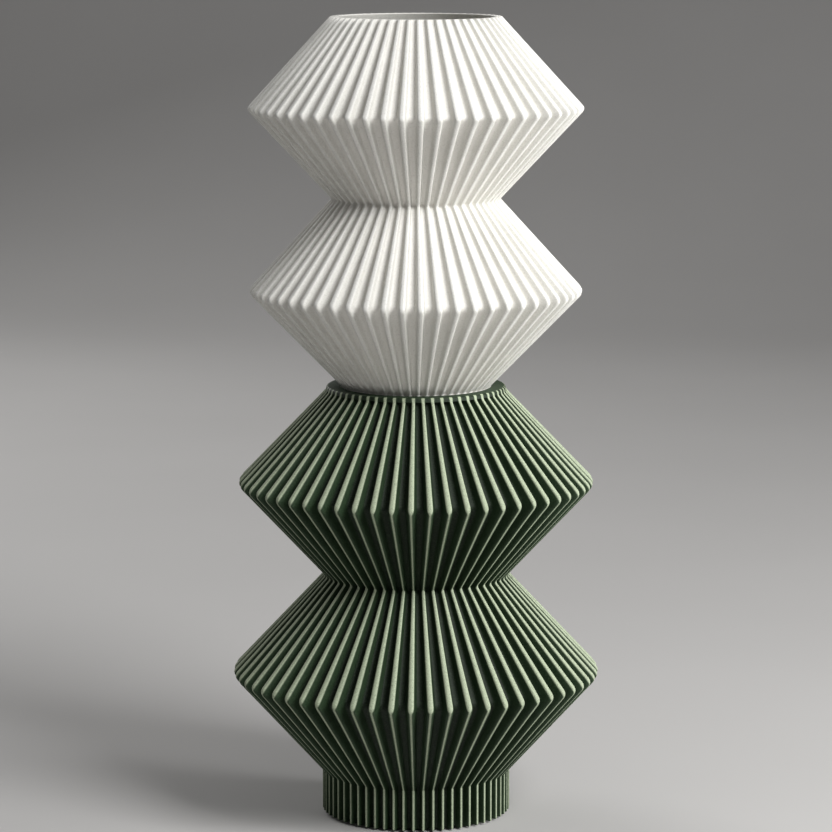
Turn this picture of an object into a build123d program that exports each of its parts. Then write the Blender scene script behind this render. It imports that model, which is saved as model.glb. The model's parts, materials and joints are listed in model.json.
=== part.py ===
"""Pleated table lamp: a ribbed base with a ribbed lift-off shade, in millimetres, +Z up.

The origin is the centre of the footprint, on the surface that the lamp stands on.
The front of the lamp faces -Y, and its inlet and switch are at the back, towards +Y.
"""

import os
from math import cos, radians, sin

from build123d import *

os.makedirs("parts", exist_ok=True)

# ---------------------------------------------------------------- driving dimensions

# Base: height above the surface and radius over the rib crests, from the foot up.
# The ribs' pleat is their depth as a share of the radius, and one crest is at the front.
FOOT_LIFT = 1.0
FOOT_TOP = 24.6
FOOT_R = 53.3
BASE_RING_LOW = 81.6
BASE_RING_LOW_R = 103.2
BASE_WAIST = 137.4
BASE_WAIST_R = 52.6
BASE_RING_HIGH = 190.0
BASE_RING_HIGH_R = 99.6
BASE_RIB_TOP = 242.2
BASE_RIB_TOP_R = 50.6
BASE_TOP = 244.5
BASE_TOP_R = 50.2
BASE_RIBS = 60
BASE_PLEAT = 0.085
BASE_WALL = 2.3
FRONT_CREST = -90.0

# Shade: the same, from the foot that stands in the base up to the open rim.
SEAT_DEPTH = 4.0
SHADE_FOOT = BASE_TOP - SEAT_DEPTH
SHADE_FOOT_R = 41.5
SHADE_FOOT_BORE_R = 36.8
SHADE_FOOT_FLOOR = 243.0
SHADE_COLLAR = 244.9
SHADE_COLLAR_R = 42.6
SHADE_FLANK = 247.5
SHADE_FLANK_R = 45.8
SHADE_FLARE = 248.0
SHADE_FLARE_BORE_R = 40.6
SHADE_RING_LOW = 298.0
SHADE_RING_LOW_R = 92.8
SHADE_WAIST = 349.4
SHADE_WAIST_R = 47.3
SHADE_RING_HIGH = 399.5
SHADE_RING_HIGH_R = 93.1
SHADE_RIM = 450.0
SHADE_RIM_R = 47.5
SHADE_RIBS = 58
SHADE_PLEAT = 0.06
SHADE_WALL = 1.8

# Both: height of the narrow vertical band that blunts each ring, and the rib section
# as shares of the pitch.
RING_BAND = 3.0
CREST_SHARE = 0.36
FLANK_SHARE = 0.12

# Seat for the shade, and the shelf that carries the deck plate.
SEAT_R = 42.2
DECK_REBATE_R = 36.3
DECK_REBATE = 2.0
SHELF = 4.0
SHELF_BORE_R = 29.0

# M3 fasteners, with round heads.
M3_R = 1.5
M3_CLEAR_R = 1.7
M3_HEAD_R = 2.75
M3_HEAD = 1.8
HEAD_EDGE = 0.6
INSERT_R = 2.1

# Hardware of the deck.
DECK_R = 36.0
DECK_THICK = 1.8
DECK_EDGE = 0.4
DECK_SCREW_R = 32.5
DECK_SCREWS = 3
DECK_SCREW_LENGTH = 6.0
NIPPLE_R = 5.0
NIPPLE_BORE_R = 3.8
NIPPLE_HOLE_R = 5.2
WASHER_R = 9.0
WASHER_THICK = 1.0
NUT_FLATS_R = 7.0
NUT_THICK = 3.5

# Bottom closure.
COVER_BOTTOM = 3.0
COVER_THICK = 3.0
COVER_GAP = 0.3
BOSS_R = 4.0
BOSS_CIRCLE_R = 43.0
BOSS_HEIGHT = 8.0
BOSSES = 4
BOSS_TURN = 45.0
INSERT_LENGTH = 5.0
FOOT_PAD_R = 6.0
FOOT_PAD_CIRCLE_R = 32.0
FOOT_PADS = 4
FOOT_PAD_SEAT = 0.6
FOOT_PAD_EDGE = 0.5
BALLAST_R = 30.0
BALLAST_THICK = 12.0
BALLAST_Y = -6.0
BALLAST_EDGE = 1.0
M4_R = 2.0
M4_CLEAR_R = 2.2
M4_HEAD_R = 3.5
BALLAST_SCREW_X = 15.0

# Service panel at the back of the foot.
PANEL_Y = 47.0
PANEL_THICK = 3.0
PANEL_HALF = 22.6
PANEL_LOW = 4.5
PANEL_HIGH = 22.3
SERVICE_Z = 13.4
FLANGE_EDGE = 0.5

# Two-pole appliance inlet, without earth.
INLET_X = -11.2
INLET_FLANGE = (22.0, 14.0, 1.6)
INLET_BODY = (19.0, 11.0, 16.0)
SOCKET_LENGTH = 15.8
SOCKET_HEIGHT = 7.8
SOCKET_DEPTH = 13.5
SOCKET_WAIST = 6.4
PIN_R = 1.18
PIN_PITCH = 8.6
PIN_LENGTH = 11.0
TAB_THICK = 0.8
TAB_WIDTH = 4.8
TAB_LENGTH = 6.0

# Small rocker switch.
SWITCH_X = 12.6
SWITCH_FLANGE = (15.0, 10.6, 1.8)
SWITCH_BODY = (13.2, 8.8, 14.0)
ROCKER_WELL = (12.0, 7.2, 7.0)
ROCKER_R = 5.7
ROCKER_WIDTH = 6.6
ROCKER_TILT = 10.0
ROCKER_PIVOT_IN = 2.2
ROCKER_FACE = 3.0
ROCKER_DEPTH = 3.4
ROCKER_PIN_R = 0.9
ROCKER_PIN_CLEAR = 0.05
ROCKER_PIN_LENGTH = 0.7
SWITCH_TAB_X = 4.0

# Lampholder for an Edison 27 mm cap.
HOLDER_R = 19.7
HOLDER_WALL = 2.0
HOLDER_NECK_R = 11.0
HOLDER_CAP_TOP = 264.0
HOLDER_TOP = 288.5
CORE_R = 17.4
CORE_BOTTOM = 252.0
CORE_TOP = 261.5
THREAD_BORE_R = 13.7
THREAD_SLEEVE = 0.6
SLEEVE_BOTTOM = 266.5
CORE_GAP = 0.3
CONTACT_LENGTH = 16.0
CONTACT_WIDTH = 4.0
CONTACT_THICK = 0.6
CONTACT_GAP = 0.2
TONGUE_X = 3.0
TONGUE_FOOT = 1.8

# Bulb, 60 mm across and 108 mm from its tip to its crown.
BULB_TIP = 264.6
BULB_R = 30.0
BULB_LENGTH = 108.6
BULB_SHELL_R = 13.1
BULB_SHELL_BOTTOM = 268.0
BULB_SHELL_TOP = 289.2
BULB_HOUSING_TOP = 330.0
BULB_WALL = 1.2
BULB_TIP_R = 4.5
BULB_TIP_THICK = 1.0
BULB_NECK_R = 14.4
BULB_COLLAR = 2.0
SHELL_SHEET = 0.4
NECK_EDGE = 1.0
LED_PLATE_THICK = 1.5
DRIVER_WIDTH = 16.0
DRIVER_THICK = 1.2
DRIVER_GAP = 1.0
CAPACITOR_R = 4.0
CAPACITOR_LENGTH = 14.0
CHOKE_DEPTH = 6.0
LED_COUNT = 12
LED_CIRCLE_R = 17.0
LED_SIZE = (3.5, 2.8, 0.8)

# Leads inside the base.
WIRE_R = 1.1
WIRE_X = 1.7
WIRE_BEND = 100.0
LEAD_RISE = 45.0
LEAD_ENTRY = 215.0
LINK_BEND = 6.0
LINK_TOP = 30.0
RECEPTACLE = (2.8, 5.4, 7.6)


# ---------------------------------------------------------------- shared shapes


def pleat_section(height, crest_r, ribs, pleat, turn):
    """One level of a ribbed wall: flat crests and flat valleys joined by steep flanks."""
    pitch = 360.0 / ribs
    half_crest = pitch * CREST_SHARE / 2
    half_outer = half_crest + pitch * FLANK_SHARE
    corners = []
    for rib in range(ribs):
        middle = turn + pitch * rib
        for offset, radius in (
            (-half_outer, crest_r * (1 - pleat)),
            (-half_crest, crest_r),
            (half_crest, crest_r),
            (half_outer, crest_r * (1 - pleat)),
        ):
            angle = radians(middle + offset)
            corners.append((radius * cos(angle), radius * sin(angle)))
    with BuildSketch(Plane.XY.offset(height)) as section:
        with BuildLine():
            Polyline(*corners, close=True)
        make_face()
    return section.sketch


def pleat_levels(levels, ribs, pleat, turn):
    """The sections of a ribbed wall, from a list of heights and crest radii."""
    return [pleat_section(height, crest_r, ribs, pleat, turn) for height, crest_r in levels]


def liner_r(crest_r, pleat, wall):
    """Radius of the smooth inner wall behind ribs of the given crest radius."""
    return crest_r * (1 - pleat) - wall


def save(piece, name):
    """Label a finished piece and write it as the node of that name."""
    piece.part.label = name
    export_step(piece.part, f"parts/{name}.step")


# ---------------------------------------------------------------- base shell

base_levels = [
    (FOOT_LIFT, FOOT_R),
    (FOOT_TOP, FOOT_R),
    (BASE_RING_LOW - RING_BAND / 2, BASE_RING_LOW_R),
    (BASE_RING_LOW + RING_BAND / 2, BASE_RING_LOW_R),
    (BASE_WAIST, BASE_WAIST_R),
    (BASE_RING_HIGH - RING_BAND / 2, BASE_RING_HIGH_R),
    (BASE_RING_HIGH + RING_BAND / 2, BASE_RING_HIGH_R),
    (BASE_RIB_TOP, BASE_RIB_TOP_R),
]
shelf_top = SHADE_FOOT - DECK_REBATE
shelf_bottom = shelf_top - SHELF
cavity_top_r = liner_r(
    BASE_RIB_TOP_R
    + (BASE_RING_HIGH_R - BASE_RIB_TOP_R)
    * (BASE_RIB_TOP - shelf_bottom)
    / (BASE_RIB_TOP - BASE_RING_HIGH - RING_BAND / 2),
    BASE_PLEAT,
    BASE_WALL,
)

with BuildPart() as base_shell:
    loft(pleat_levels(base_levels, BASE_RIBS, BASE_PLEAT, FRONT_CREST), ruled=True, clean=False)
    # Round top plate over the rib ends, with a softened outer edge.
    with BuildSketch(Plane.XY.offset(BASE_RIB_TOP)):
        Circle(BASE_TOP_R)
    extrude(amount=BASE_TOP - BASE_RIB_TOP, clean=False)
    # Hollow inside, up to the shelf.
    with BuildSketch(Plane.XZ):
        with BuildLine():
            Polyline(
                (0, FOOT_LIFT),
                (liner_r(FOOT_R, BASE_PLEAT, BASE_WALL), FOOT_LIFT),
                (liner_r(FOOT_R, BASE_PLEAT, BASE_WALL), FOOT_TOP),
                (liner_r(BASE_RING_LOW_R, BASE_PLEAT, BASE_WALL), BASE_RING_LOW),
                (liner_r(BASE_WAIST_R, BASE_PLEAT, BASE_WALL), BASE_WAIST),
                (liner_r(BASE_RING_HIGH_R, BASE_PLEAT, BASE_WALL), BASE_RING_HIGH),
                (cavity_top_r, shelf_bottom),
                (0, shelf_bottom),
                close=True,
            )
        make_face()
    revolve(axis=Axis.Z, mode=Mode.SUBTRACT, clean=False)
    # Seat for the shade's foot, rebate for the deck plate, and the hole in the shelf.
    for radius, floor in (
        (SEAT_R, SHADE_FOOT),
        (DECK_REBATE_R, shelf_top),
        (SHELF_BORE_R, shelf_bottom),
    ):
        with BuildSketch(Plane.XY.offset(floor)):
            Circle(radius)
        extrude(amount=BASE_TOP - floor, mode=Mode.SUBTRACT, clean=False)
    # Blind holes for the deck's threaded inserts.
    with BuildSketch(Plane.XY.offset(shelf_bottom)):
        with PolarLocations(DECK_SCREW_R, DECK_SCREWS):
            Circle(INSERT_R)
    extrude(amount=SHELF, mode=Mode.SUBTRACT, clean=False)
    # Bosses for the bottom cover, grown out of the foot's wall.
    with BuildSketch(Plane.XY.offset(COVER_BOTTOM + COVER_THICK)):
        with PolarLocations(BOSS_CIRCLE_R, BOSSES, start_angle=BOSS_TURN):
            Circle(BOSS_R)
    extrude(amount=BOSS_HEIGHT, clean=False)
    with BuildSketch(Plane.XY.offset(COVER_BOTTOM + COVER_THICK)):
        with PolarLocations(BOSS_CIRCLE_R, BOSSES, start_angle=BOSS_TURN):
            Circle(INSERT_R)
    extrude(amount=INSERT_LENGTH, mode=Mode.SUBTRACT, clean=False)
    # Flat panel at the back of the foot, cut square through the ribs.
    panel_plane = Plane(origin=(0, PANEL_Y, 0), x_dir=(-1, 0, 0), z_dir=(0, 1, 0))
    with BuildSketch(panel_plane):
        with Locations((0, (FOOT_LIFT + FOOT_TOP) / 2)):
            Rectangle(2 * PANEL_HALF, FOOT_TOP - FOOT_LIFT)
    extrude(amount=-PANEL_THICK, clean=False)
    with BuildSketch(panel_plane):
        with Locations((0, (PANEL_LOW + PANEL_HIGH) / 2)):
            Rectangle(2 * PANEL_HALF, PANEL_HIGH - PANEL_LOW)
    extrude(amount=FOOT_R - PANEL_Y + RING_BAND, mode=Mode.SUBTRACT, clean=False)
    with BuildSketch(panel_plane):
        with Locations((-INLET_X, SERVICE_Z)):
            Rectangle(INLET_BODY[0], INLET_BODY[1])
        with Locations((-SWITCH_X, SERVICE_Z)):
            Rectangle(SWITCH_BODY[0], SWITCH_BODY[1])
    extrude(amount=-INLET_BODY[2], mode=Mode.SUBTRACT, clean=False)
save(base_shell, "base_shell")

# ---------------------------------------------------------------- shade

lower_tier_levels = [
    (SHADE_COLLAR, SHADE_COLLAR_R),
    (SHADE_FLANK, SHADE_FLANK_R),
    (SHADE_RING_LOW - RING_BAND / 2, SHADE_RING_LOW_R),
    (SHADE_RING_LOW + RING_BAND / 2, SHADE_RING_LOW_R),
    (SHADE_WAIST, SHADE_WAIST_R),
]
upper_tier_levels = [
    (SHADE_WAIST, SHADE_WAIST_R),
    (SHADE_RING_HIGH - RING_BAND / 2, SHADE_RING_HIGH_R),
    (SHADE_RING_HIGH + RING_BAND / 2, SHADE_RING_HIGH_R),
    (SHADE_RIM, SHADE_RIM_R),
]
front_valley = FRONT_CREST + 180.0 / SHADE_RIBS
shade_waist_bore_r = liner_r(SHADE_WAIST_R, SHADE_PLEAT, SHADE_WALL)

# The shade is printed in one piece. It is written as two nodes that meet at its waist,
# because each tier is a hollow of its own for collision.
with BuildPart() as shade_lower_tier:
    loft(
        pleat_levels(lower_tier_levels, SHADE_RIBS, SHADE_PLEAT, front_valley),
        ruled=True,
        clean=False,
    )
    with BuildSketch(Plane.XY.offset(SHADE_FOOT)):
        Circle(SHADE_FOOT_R)
    extrude(amount=SHADE_COLLAR - SHADE_FOOT, clean=False)
    with BuildSketch(Plane.XZ):
        with BuildLine():
            Polyline(
                (0, SHADE_FOOT),
                (SHADE_FOOT_BORE_R, SHADE_FOOT),
                (SHADE_FOOT_BORE_R, SHADE_FOOT_FLOOR),
                (SHADE_FLARE_BORE_R, SHADE_FLARE),
                (liner_r(SHADE_RING_LOW_R, SHADE_PLEAT, SHADE_WALL), SHADE_RING_LOW),
                (shade_waist_bore_r, SHADE_WAIST),
                (0, SHADE_WAIST),
                close=True,
            )
        make_face()
    revolve(axis=Axis.Z, mode=Mode.SUBTRACT, clean=False)
save(shade_lower_tier, "shade_lower_tier")

with BuildPart() as shade_upper_tier:
    loft(
        pleat_levels(upper_tier_levels, SHADE_RIBS, SHADE_PLEAT, front_valley),
        ruled=True,
        clean=False,
    )
    with BuildSketch(Plane.XZ):
        with BuildLine():
            Polyline(
                (0, SHADE_WAIST),
                (shade_waist_bore_r, SHADE_WAIST),
                (liner_r(SHADE_RING_HIGH_R, SHADE_PLEAT, SHADE_WALL), SHADE_RING_HIGH),
                (liner_r(SHADE_RIM_R, SHADE_PLEAT, SHADE_WALL), SHADE_RIM),
                (0, SHADE_RIM),
                close=True,
            )
        make_face()
    revolve(axis=Axis.Z, mode=Mode.SUBTRACT, clean=False)
save(shade_upper_tier, "shade_upper_tier")

# ---------------------------------------------------------------- deck and nipple

deck_top = shelf_top + DECK_THICK

with BuildPart() as deck_plate:
    with BuildSketch(Plane.XY.offset(shelf_top)):
        Circle(DECK_R)
        Circle(NIPPLE_HOLE_R, mode=Mode.SUBTRACT)
        with PolarLocations(DECK_SCREW_R, DECK_SCREWS):
            Circle(M3_CLEAR_R, mode=Mode.SUBTRACT)
    extrude(amount=DECK_THICK)
    deck_rim = deck_plate.edges().group_by(Axis.Z)[-1].sort_by(SortBy.RADIUS)[-1]
    chamfer(deck_rim, length=DECK_EDGE)
save(deck_plate, "deck_plate")

with BuildPart() as deck_screws:
    with BuildSketch(Plane.XY.offset(deck_top)):
        with PolarLocations(DECK_SCREW_R, DECK_SCREWS):
            Circle(M3_HEAD_R)
    extrude(amount=M3_HEAD)
    fillet(deck_screws.edges().group_by(Axis.Z)[-1], radius=HEAD_EDGE)
    with BuildSketch(Plane.XY.offset(deck_top + M3_HEAD)):
        with PolarLocations(DECK_SCREW_R, DECK_SCREWS):
            RegularPolygon(M3_R, 6)
    extrude(amount=-M3_HEAD / 2, mode=Mode.SUBTRACT)
    with BuildSketch(Plane.XY.offset(deck_top)):
        with PolarLocations(DECK_SCREW_R, DECK_SCREWS):
            Circle(M3_R)
    extrude(amount=-DECK_SCREW_LENGTH)
save(deck_screws, "deck_screws")

with BuildPart() as deck_inserts:
    with BuildSketch(Plane.XY.offset(shelf_bottom)):
        with PolarLocations(DECK_SCREW_R, DECK_SCREWS):
            Circle(INSERT_R)
            Circle(M3_R, mode=Mode.SUBTRACT)
    extrude(amount=SHELF)
save(deck_inserts, "deck_inserts")

nut_top = shelf_top - WASHER_THICK
nipple_bottom = nut_top - NUT_THICK - WASHER_THICK

with BuildPart() as nipple:
    with BuildSketch(Plane.XY.offset(nipple_bottom)):
        Circle(NIPPLE_R)
        Circle(NIPPLE_BORE_R, mode=Mode.SUBTRACT)
    extrude(amount=deck_top + 2 * HOLDER_WALL + M3_HEAD - nipple_bottom)
save(nipple, "nipple")

with BuildPart() as nipple_washer:
    with BuildSketch(Plane.XY.offset(nut_top)):
        Circle(WASHER_R)
        Circle(NIPPLE_R, mode=Mode.SUBTRACT)
    extrude(amount=WASHER_THICK)
save(nipple_washer, "nipple_washer")

with BuildPart() as nipple_nut:
    with BuildSketch(Plane.XY.offset(nut_top - NUT_THICK)):
        RegularPolygon(NUT_FLATS_R, 6, major_radius=False)
        Circle(NIPPLE_R, mode=Mode.SUBTRACT)
    extrude(amount=NUT_THICK)
save(nipple_nut, "nipple_nut")

# ---------------------------------------------------------------- lampholder

cap_shoulder = deck_top + 2 * HOLDER_WALL + M3_HEAD
core_seat = CORE_BOTTOM - HOLDER_WALL

with BuildPart() as lampholder_cap:
    with BuildSketch(Plane.XZ):
        with BuildLine():
            Polyline(
                (NIPPLE_R, deck_top),
                (HOLDER_NECK_R, deck_top),
                (HOLDER_NECK_R, deck_top + HOLDER_WALL),
                (HOLDER_R - HOLDER_WALL, core_seat),
                (HOLDER_R, CORE_BOTTOM),
                (HOLDER_R, HOLDER_CAP_TOP),
                (CORE_R + CORE_GAP, HOLDER_CAP_TOP),
                (CORE_R + CORE_GAP, CORE_BOTTOM),
                (HOLDER_NECK_R - HOLDER_WALL, cap_shoulder),
                (NIPPLE_R, cap_shoulder),
                close=True,
            )
        make_face()
    revolve(axis=Axis.Z)
save(lampholder_cap, "lampholder_cap")

with BuildPart() as lampholder_core:
    with BuildSketch(Plane.XY.offset(CORE_BOTTOM)):
        Circle(CORE_R)
    extrude(amount=CORE_TOP - CORE_BOTTOM)
    # Slots that seat the two contacts.
    with BuildSketch(Plane.XY.offset(CORE_TOP)):
        Rectangle(CONTACT_LENGTH, CONTACT_WIDTH)
        with Locations((0, THREAD_BORE_R + THREAD_SLEEVE / 2)):
            Rectangle(CONTACT_WIDTH, CONTACT_THICK)
    extrude(amount=-CONTACT_THICK, mode=Mode.SUBTRACT)
save(lampholder_core, "lampholder_core")

with BuildPart() as lampholder_skirt:
    with BuildSketch(Plane.XZ):
        with BuildLine():
            Polyline(
                (THREAD_BORE_R + THREAD_SLEEVE, SLEEVE_BOTTOM),
                (THREAD_BORE_R + THREAD_SLEEVE, HOLDER_TOP - THREAD_SLEEVE),
                (THREAD_BORE_R, HOLDER_TOP - THREAD_SLEEVE),
                (THREAD_BORE_R, HOLDER_TOP),
                (HOLDER_R - HOLDER_WALL, HOLDER_TOP),
                (HOLDER_R, HOLDER_TOP - HOLDER_WALL),
                (HOLDER_R, HOLDER_CAP_TOP),
                (CORE_R, HOLDER_CAP_TOP),
                (CORE_R, SLEEVE_BOTTOM),
                close=True,
            )
        make_face()
    revolve(axis=Axis.Z)
save(lampholder_skirt, "lampholder_skirt")

with BuildPart() as thread_sleeve:
    with BuildSketch(Plane.XY.offset(SLEEVE_BOTTOM)):
        Circle(THREAD_BORE_R + THREAD_SLEEVE)
        Circle(THREAD_BORE_R, mode=Mode.SUBTRACT)
    extrude(amount=HOLDER_TOP - THREAD_SLEEVE - SLEEVE_BOTTOM)
save(thread_sleeve, "thread_sleeve")

contact_bottom = CORE_TOP - CONTACT_THICK
tongue_top = BULB_TIP - CONTACT_GAP

with BuildPart() as centre_contact:
    # Flat strip in the core, with a tongue bent up under the bulb's tip.
    with BuildSketch(Plane.XZ.offset(-CONTACT_WIDTH / 2)):
        with BuildLine():
            Polyline(
                (-CONTACT_LENGTH / 2, contact_bottom),
                (CONTACT_LENGTH / 2, contact_bottom),
                (CONTACT_LENGTH / 2, CORE_TOP),
                (TONGUE_FOOT - CONTACT_LENGTH / 2, CORE_TOP),
                (-TONGUE_X, tongue_top - CONTACT_THICK),
                (TONGUE_X, tongue_top - CONTACT_THICK),
                (TONGUE_X, tongue_top),
                (-TONGUE_X - CONTACT_THICK / 2, tongue_top),
                (-CONTACT_LENGTH / 2, CORE_TOP),
                close=True,
            )
        make_face()
    extrude(amount=CONTACT_WIDTH)
save(centre_contact, "centre_contact")

with BuildPart() as side_contact:
    # Upright strip from the core to the lower edge of the threaded sleeve.
    with BuildSketch(Plane.XY.offset(contact_bottom)):
        with Locations((0, THREAD_BORE_R + THREAD_SLEEVE / 2)):
            Rectangle(CONTACT_WIDTH, CONTACT_THICK)
    extrude(amount=SLEEVE_BOTTOM - contact_bottom)
save(side_contact, "side_contact")

# ---------------------------------------------------------------- bottom closure

cover_top = COVER_BOTTOM + COVER_THICK

with BuildPart() as bottom_cover:
    with BuildSketch(Plane.XY.offset(COVER_BOTTOM)):
        Circle(liner_r(FOOT_R, BASE_PLEAT, BASE_WALL) - COVER_GAP)
        with Locations((0, PANEL_Y - PANEL_THICK - COVER_GAP)):
            Rectangle(2 * FOOT_R, 2 * FOOT_R, align=(Align.CENTER, Align.MIN), mode=Mode.SUBTRACT)
        with PolarLocations(BOSS_CIRCLE_R, BOSSES, start_angle=BOSS_TURN):
            Circle(M3_CLEAR_R, mode=Mode.SUBTRACT)
        with Locations((BALLAST_SCREW_X, BALLAST_Y), (-BALLAST_SCREW_X, BALLAST_Y)):
            Circle(M4_CLEAR_R, mode=Mode.SUBTRACT)
    extrude(amount=COVER_THICK)
    # Shallow seats that locate the rubber feet.
    with BuildSketch(Plane.XY.offset(COVER_BOTTOM)):
        with PolarLocations(FOOT_PAD_CIRCLE_R, FOOT_PADS):
            Circle(FOOT_PAD_R)
    extrude(amount=FOOT_PAD_SEAT, mode=Mode.SUBTRACT)
save(bottom_cover, "bottom_cover")

with BuildPart() as cover_screws:
    with BuildSketch(Plane.XY.offset(COVER_BOTTOM - M3_HEAD)):
        with PolarLocations(BOSS_CIRCLE_R, BOSSES, start_angle=BOSS_TURN):
            Circle(M3_HEAD_R)
    extrude(amount=M3_HEAD)
    fillet(cover_screws.edges().group_by(Axis.Z)[0], radius=HEAD_EDGE)
    with BuildSketch(Plane.XY.offset(COVER_BOTTOM - M3_HEAD)):
        with PolarLocations(BOSS_CIRCLE_R, BOSSES, start_angle=BOSS_TURN):
            RegularPolygon(M3_R, 6)
    extrude(amount=M3_HEAD / 2, mode=Mode.SUBTRACT)
    with BuildSketch(Plane.XY.offset(COVER_BOTTOM)):
        with PolarLocations(BOSS_CIRCLE_R, BOSSES, start_angle=BOSS_TURN):
            Circle(M3_R)
    extrude(amount=COVER_THICK + INSERT_LENGTH)
save(cover_screws, "cover_screws")

with BuildPart() as cover_inserts:
    with BuildSketch(Plane.XY.offset(cover_top)):
        with PolarLocations(BOSS_CIRCLE_R, BOSSES, start_angle=BOSS_TURN):
            Circle(INSERT_R)
            Circle(M3_R, mode=Mode.SUBTRACT)
    extrude(amount=INSERT_LENGTH)
save(cover_inserts, "cover_inserts")

with BuildPart() as rubber_feet:
    with BuildSketch():
        with PolarLocations(FOOT_PAD_CIRCLE_R, FOOT_PADS):
            Circle(FOOT_PAD_R)
    extrude(amount=COVER_BOTTOM + FOOT_PAD_SEAT)
    chamfer(rubber_feet.edges().group_by(Axis.Z)[0], length=FOOT_PAD_EDGE)
save(rubber_feet, "rubber_feet")

with BuildPart() as ballast_disc:
    with BuildSketch(Plane.XY.offset(cover_top)):
        with Locations((0, BALLAST_Y)):
            Circle(BALLAST_R)
        with Locations((BALLAST_SCREW_X, BALLAST_Y), (-BALLAST_SCREW_X, BALLAST_Y)):
            Circle(M4_R, mode=Mode.SUBTRACT)
    extrude(amount=BALLAST_THICK)
    ballast_rim = ballast_disc.edges().group_by(Axis.Z)[-1].sort_by(SortBy.RADIUS)[-1]
    chamfer(ballast_rim, length=BALLAST_EDGE)
save(ballast_disc, "ballast_disc")

with BuildPart() as ballast_screws:
    with BuildSketch(Plane.XY.offset(COVER_BOTTOM - M3_HEAD)):
        with Locations((BALLAST_SCREW_X, BALLAST_Y), (-BALLAST_SCREW_X, BALLAST_Y)):
            Circle(M4_HEAD_R)
    extrude(amount=M3_HEAD)
    fillet(ballast_screws.edges().group_by(Axis.Z)[0], radius=HEAD_EDGE)
    with BuildSketch(Plane.XY.offset(COVER_BOTTOM)):
        with Locations((BALLAST_SCREW_X, BALLAST_Y), (-BALLAST_SCREW_X, BALLAST_Y)):
            Circle(M4_R)
    extrude(amount=COVER_THICK + BALLAST_THICK)
save(ballast_screws, "ballast_screws")

# ---------------------------------------------------------------- inlet

inlet_pin_x = (-INLET_X - PIN_PITCH / 2, -INLET_X + PIN_PITCH / 2)
inlet_back = PANEL_Y - INLET_BODY[2]

with BuildPart() as inlet_body:
    with BuildSketch(panel_plane):
        with Locations((-INLET_X, SERVICE_Z)):
            RectangleRounded(INLET_FLANGE[0], INLET_FLANGE[1], INLET_FLANGE[2])
    extrude(amount=INLET_FLANGE[2])
    chamfer(inlet_body.edges().group_by(Axis.Y)[-1], length=FLANGE_EDGE)
    with BuildSketch(panel_plane):
        with Locations((-INLET_X, SERVICE_Z)):
            Rectangle(INLET_BODY[0], INLET_BODY[1])
    extrude(amount=-INLET_BODY[2])
    # Figure-of-eight socket: two round lobes with a narrower waist between them.
    lobe_x = (SOCKET_LENGTH - SOCKET_HEIGHT) / 2
    with BuildSketch(panel_plane.offset(INLET_FLANGE[2])):
        with Locations((-INLET_X - lobe_x, SERVICE_Z), (-INLET_X + lobe_x, SERVICE_Z)):
            Circle(SOCKET_HEIGHT / 2)
        with Locations((-INLET_X, SERVICE_Z)):
            Rectangle(2 * lobe_x, SOCKET_WAIST)
    extrude(amount=-SOCKET_DEPTH, mode=Mode.SUBTRACT)
    with BuildSketch(panel_plane.offset(-INLET_BODY[2])):
        with Locations(*[(x, SERVICE_Z) for x in inlet_pin_x]):
            Circle(PIN_R)
    extrude(amount=INLET_BODY[2], mode=Mode.SUBTRACT)
save(inlet_body, "inlet_body")

socket_floor = INLET_FLANGE[2] - SOCKET_DEPTH

with BuildPart() as inlet_pins:
    with BuildSketch(panel_plane.offset(-INLET_BODY[2])):
        with Locations(*[(x, SERVICE_Z) for x in inlet_pin_x]):
            Circle(PIN_R)
    extrude(amount=INLET_BODY[2] + socket_floor + PIN_LENGTH)
    fillet(inlet_pins.edges().group_by(Axis.Y)[-1], radius=PIN_R / 2)
    with BuildSketch(panel_plane.offset(-INLET_BODY[2])):
        with Locations(*[(x, SERVICE_Z) for x in inlet_pin_x]):
            Rectangle(TAB_THICK, TAB_WIDTH)
    extrude(amount=-TAB_LENGTH)
save(inlet_pins, "inlet_pins")

# ---------------------------------------------------------------- rocker switch

rocker_pivot = (SWITCH_X, PANEL_Y + SWITCH_FLANGE[2] - ROCKER_PIVOT_IN, SERVICE_Z)
switch_back = PANEL_Y - SWITCH_BODY[2]
switch_tab_x = (-SWITCH_X - SWITCH_TAB_X, -SWITCH_X + SWITCH_TAB_X)

with BuildPart() as switch_body:
    with BuildSketch(panel_plane):
        with Locations((-SWITCH_X, SERVICE_Z)):
            RectangleRounded(SWITCH_FLANGE[0], SWITCH_FLANGE[1], SWITCH_FLANGE[2] / 2)
    extrude(amount=SWITCH_FLANGE[2])
    chamfer(switch_body.edges().group_by(Axis.Y)[-1], length=FLANGE_EDGE)
    with BuildSketch(panel_plane):
        with Locations((-SWITCH_X, SERVICE_Z)):
            Rectangle(SWITCH_BODY[0], SWITCH_BODY[1])
    extrude(amount=-SWITCH_BODY[2])
    # Well for the rocker, and the holes that carry its stub pins.
    with BuildSketch(panel_plane.offset(SWITCH_FLANGE[2])):
        with Locations((-SWITCH_X, SERVICE_Z)):
            Rectangle(ROCKER_WELL[0], ROCKER_WELL[1])
    extrude(amount=-ROCKER_WELL[2], mode=Mode.SUBTRACT)
    with BuildSketch(Plane.XY.offset(SERVICE_Z)):
        with Locations(rocker_pivot[:2]):
            Circle(ROCKER_PIN_R + ROCKER_PIN_CLEAR)
    extrude(amount=ROCKER_WIDTH / 2 + ROCKER_PIN_LENGTH, both=True, mode=Mode.SUBTRACT)
save(switch_body, "switch_body")

with BuildPart() as switch_terminals:
    with BuildSketch(panel_plane.offset(-SWITCH_BODY[2])):
        with Locations(*[(x, SERVICE_Z) for x in switch_tab_x]):
            Rectangle(TAB_THICK, TAB_WIDTH)
    extrude(amount=-TAB_LENGTH)
save(switch_terminals, "switch_terminals")

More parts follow.
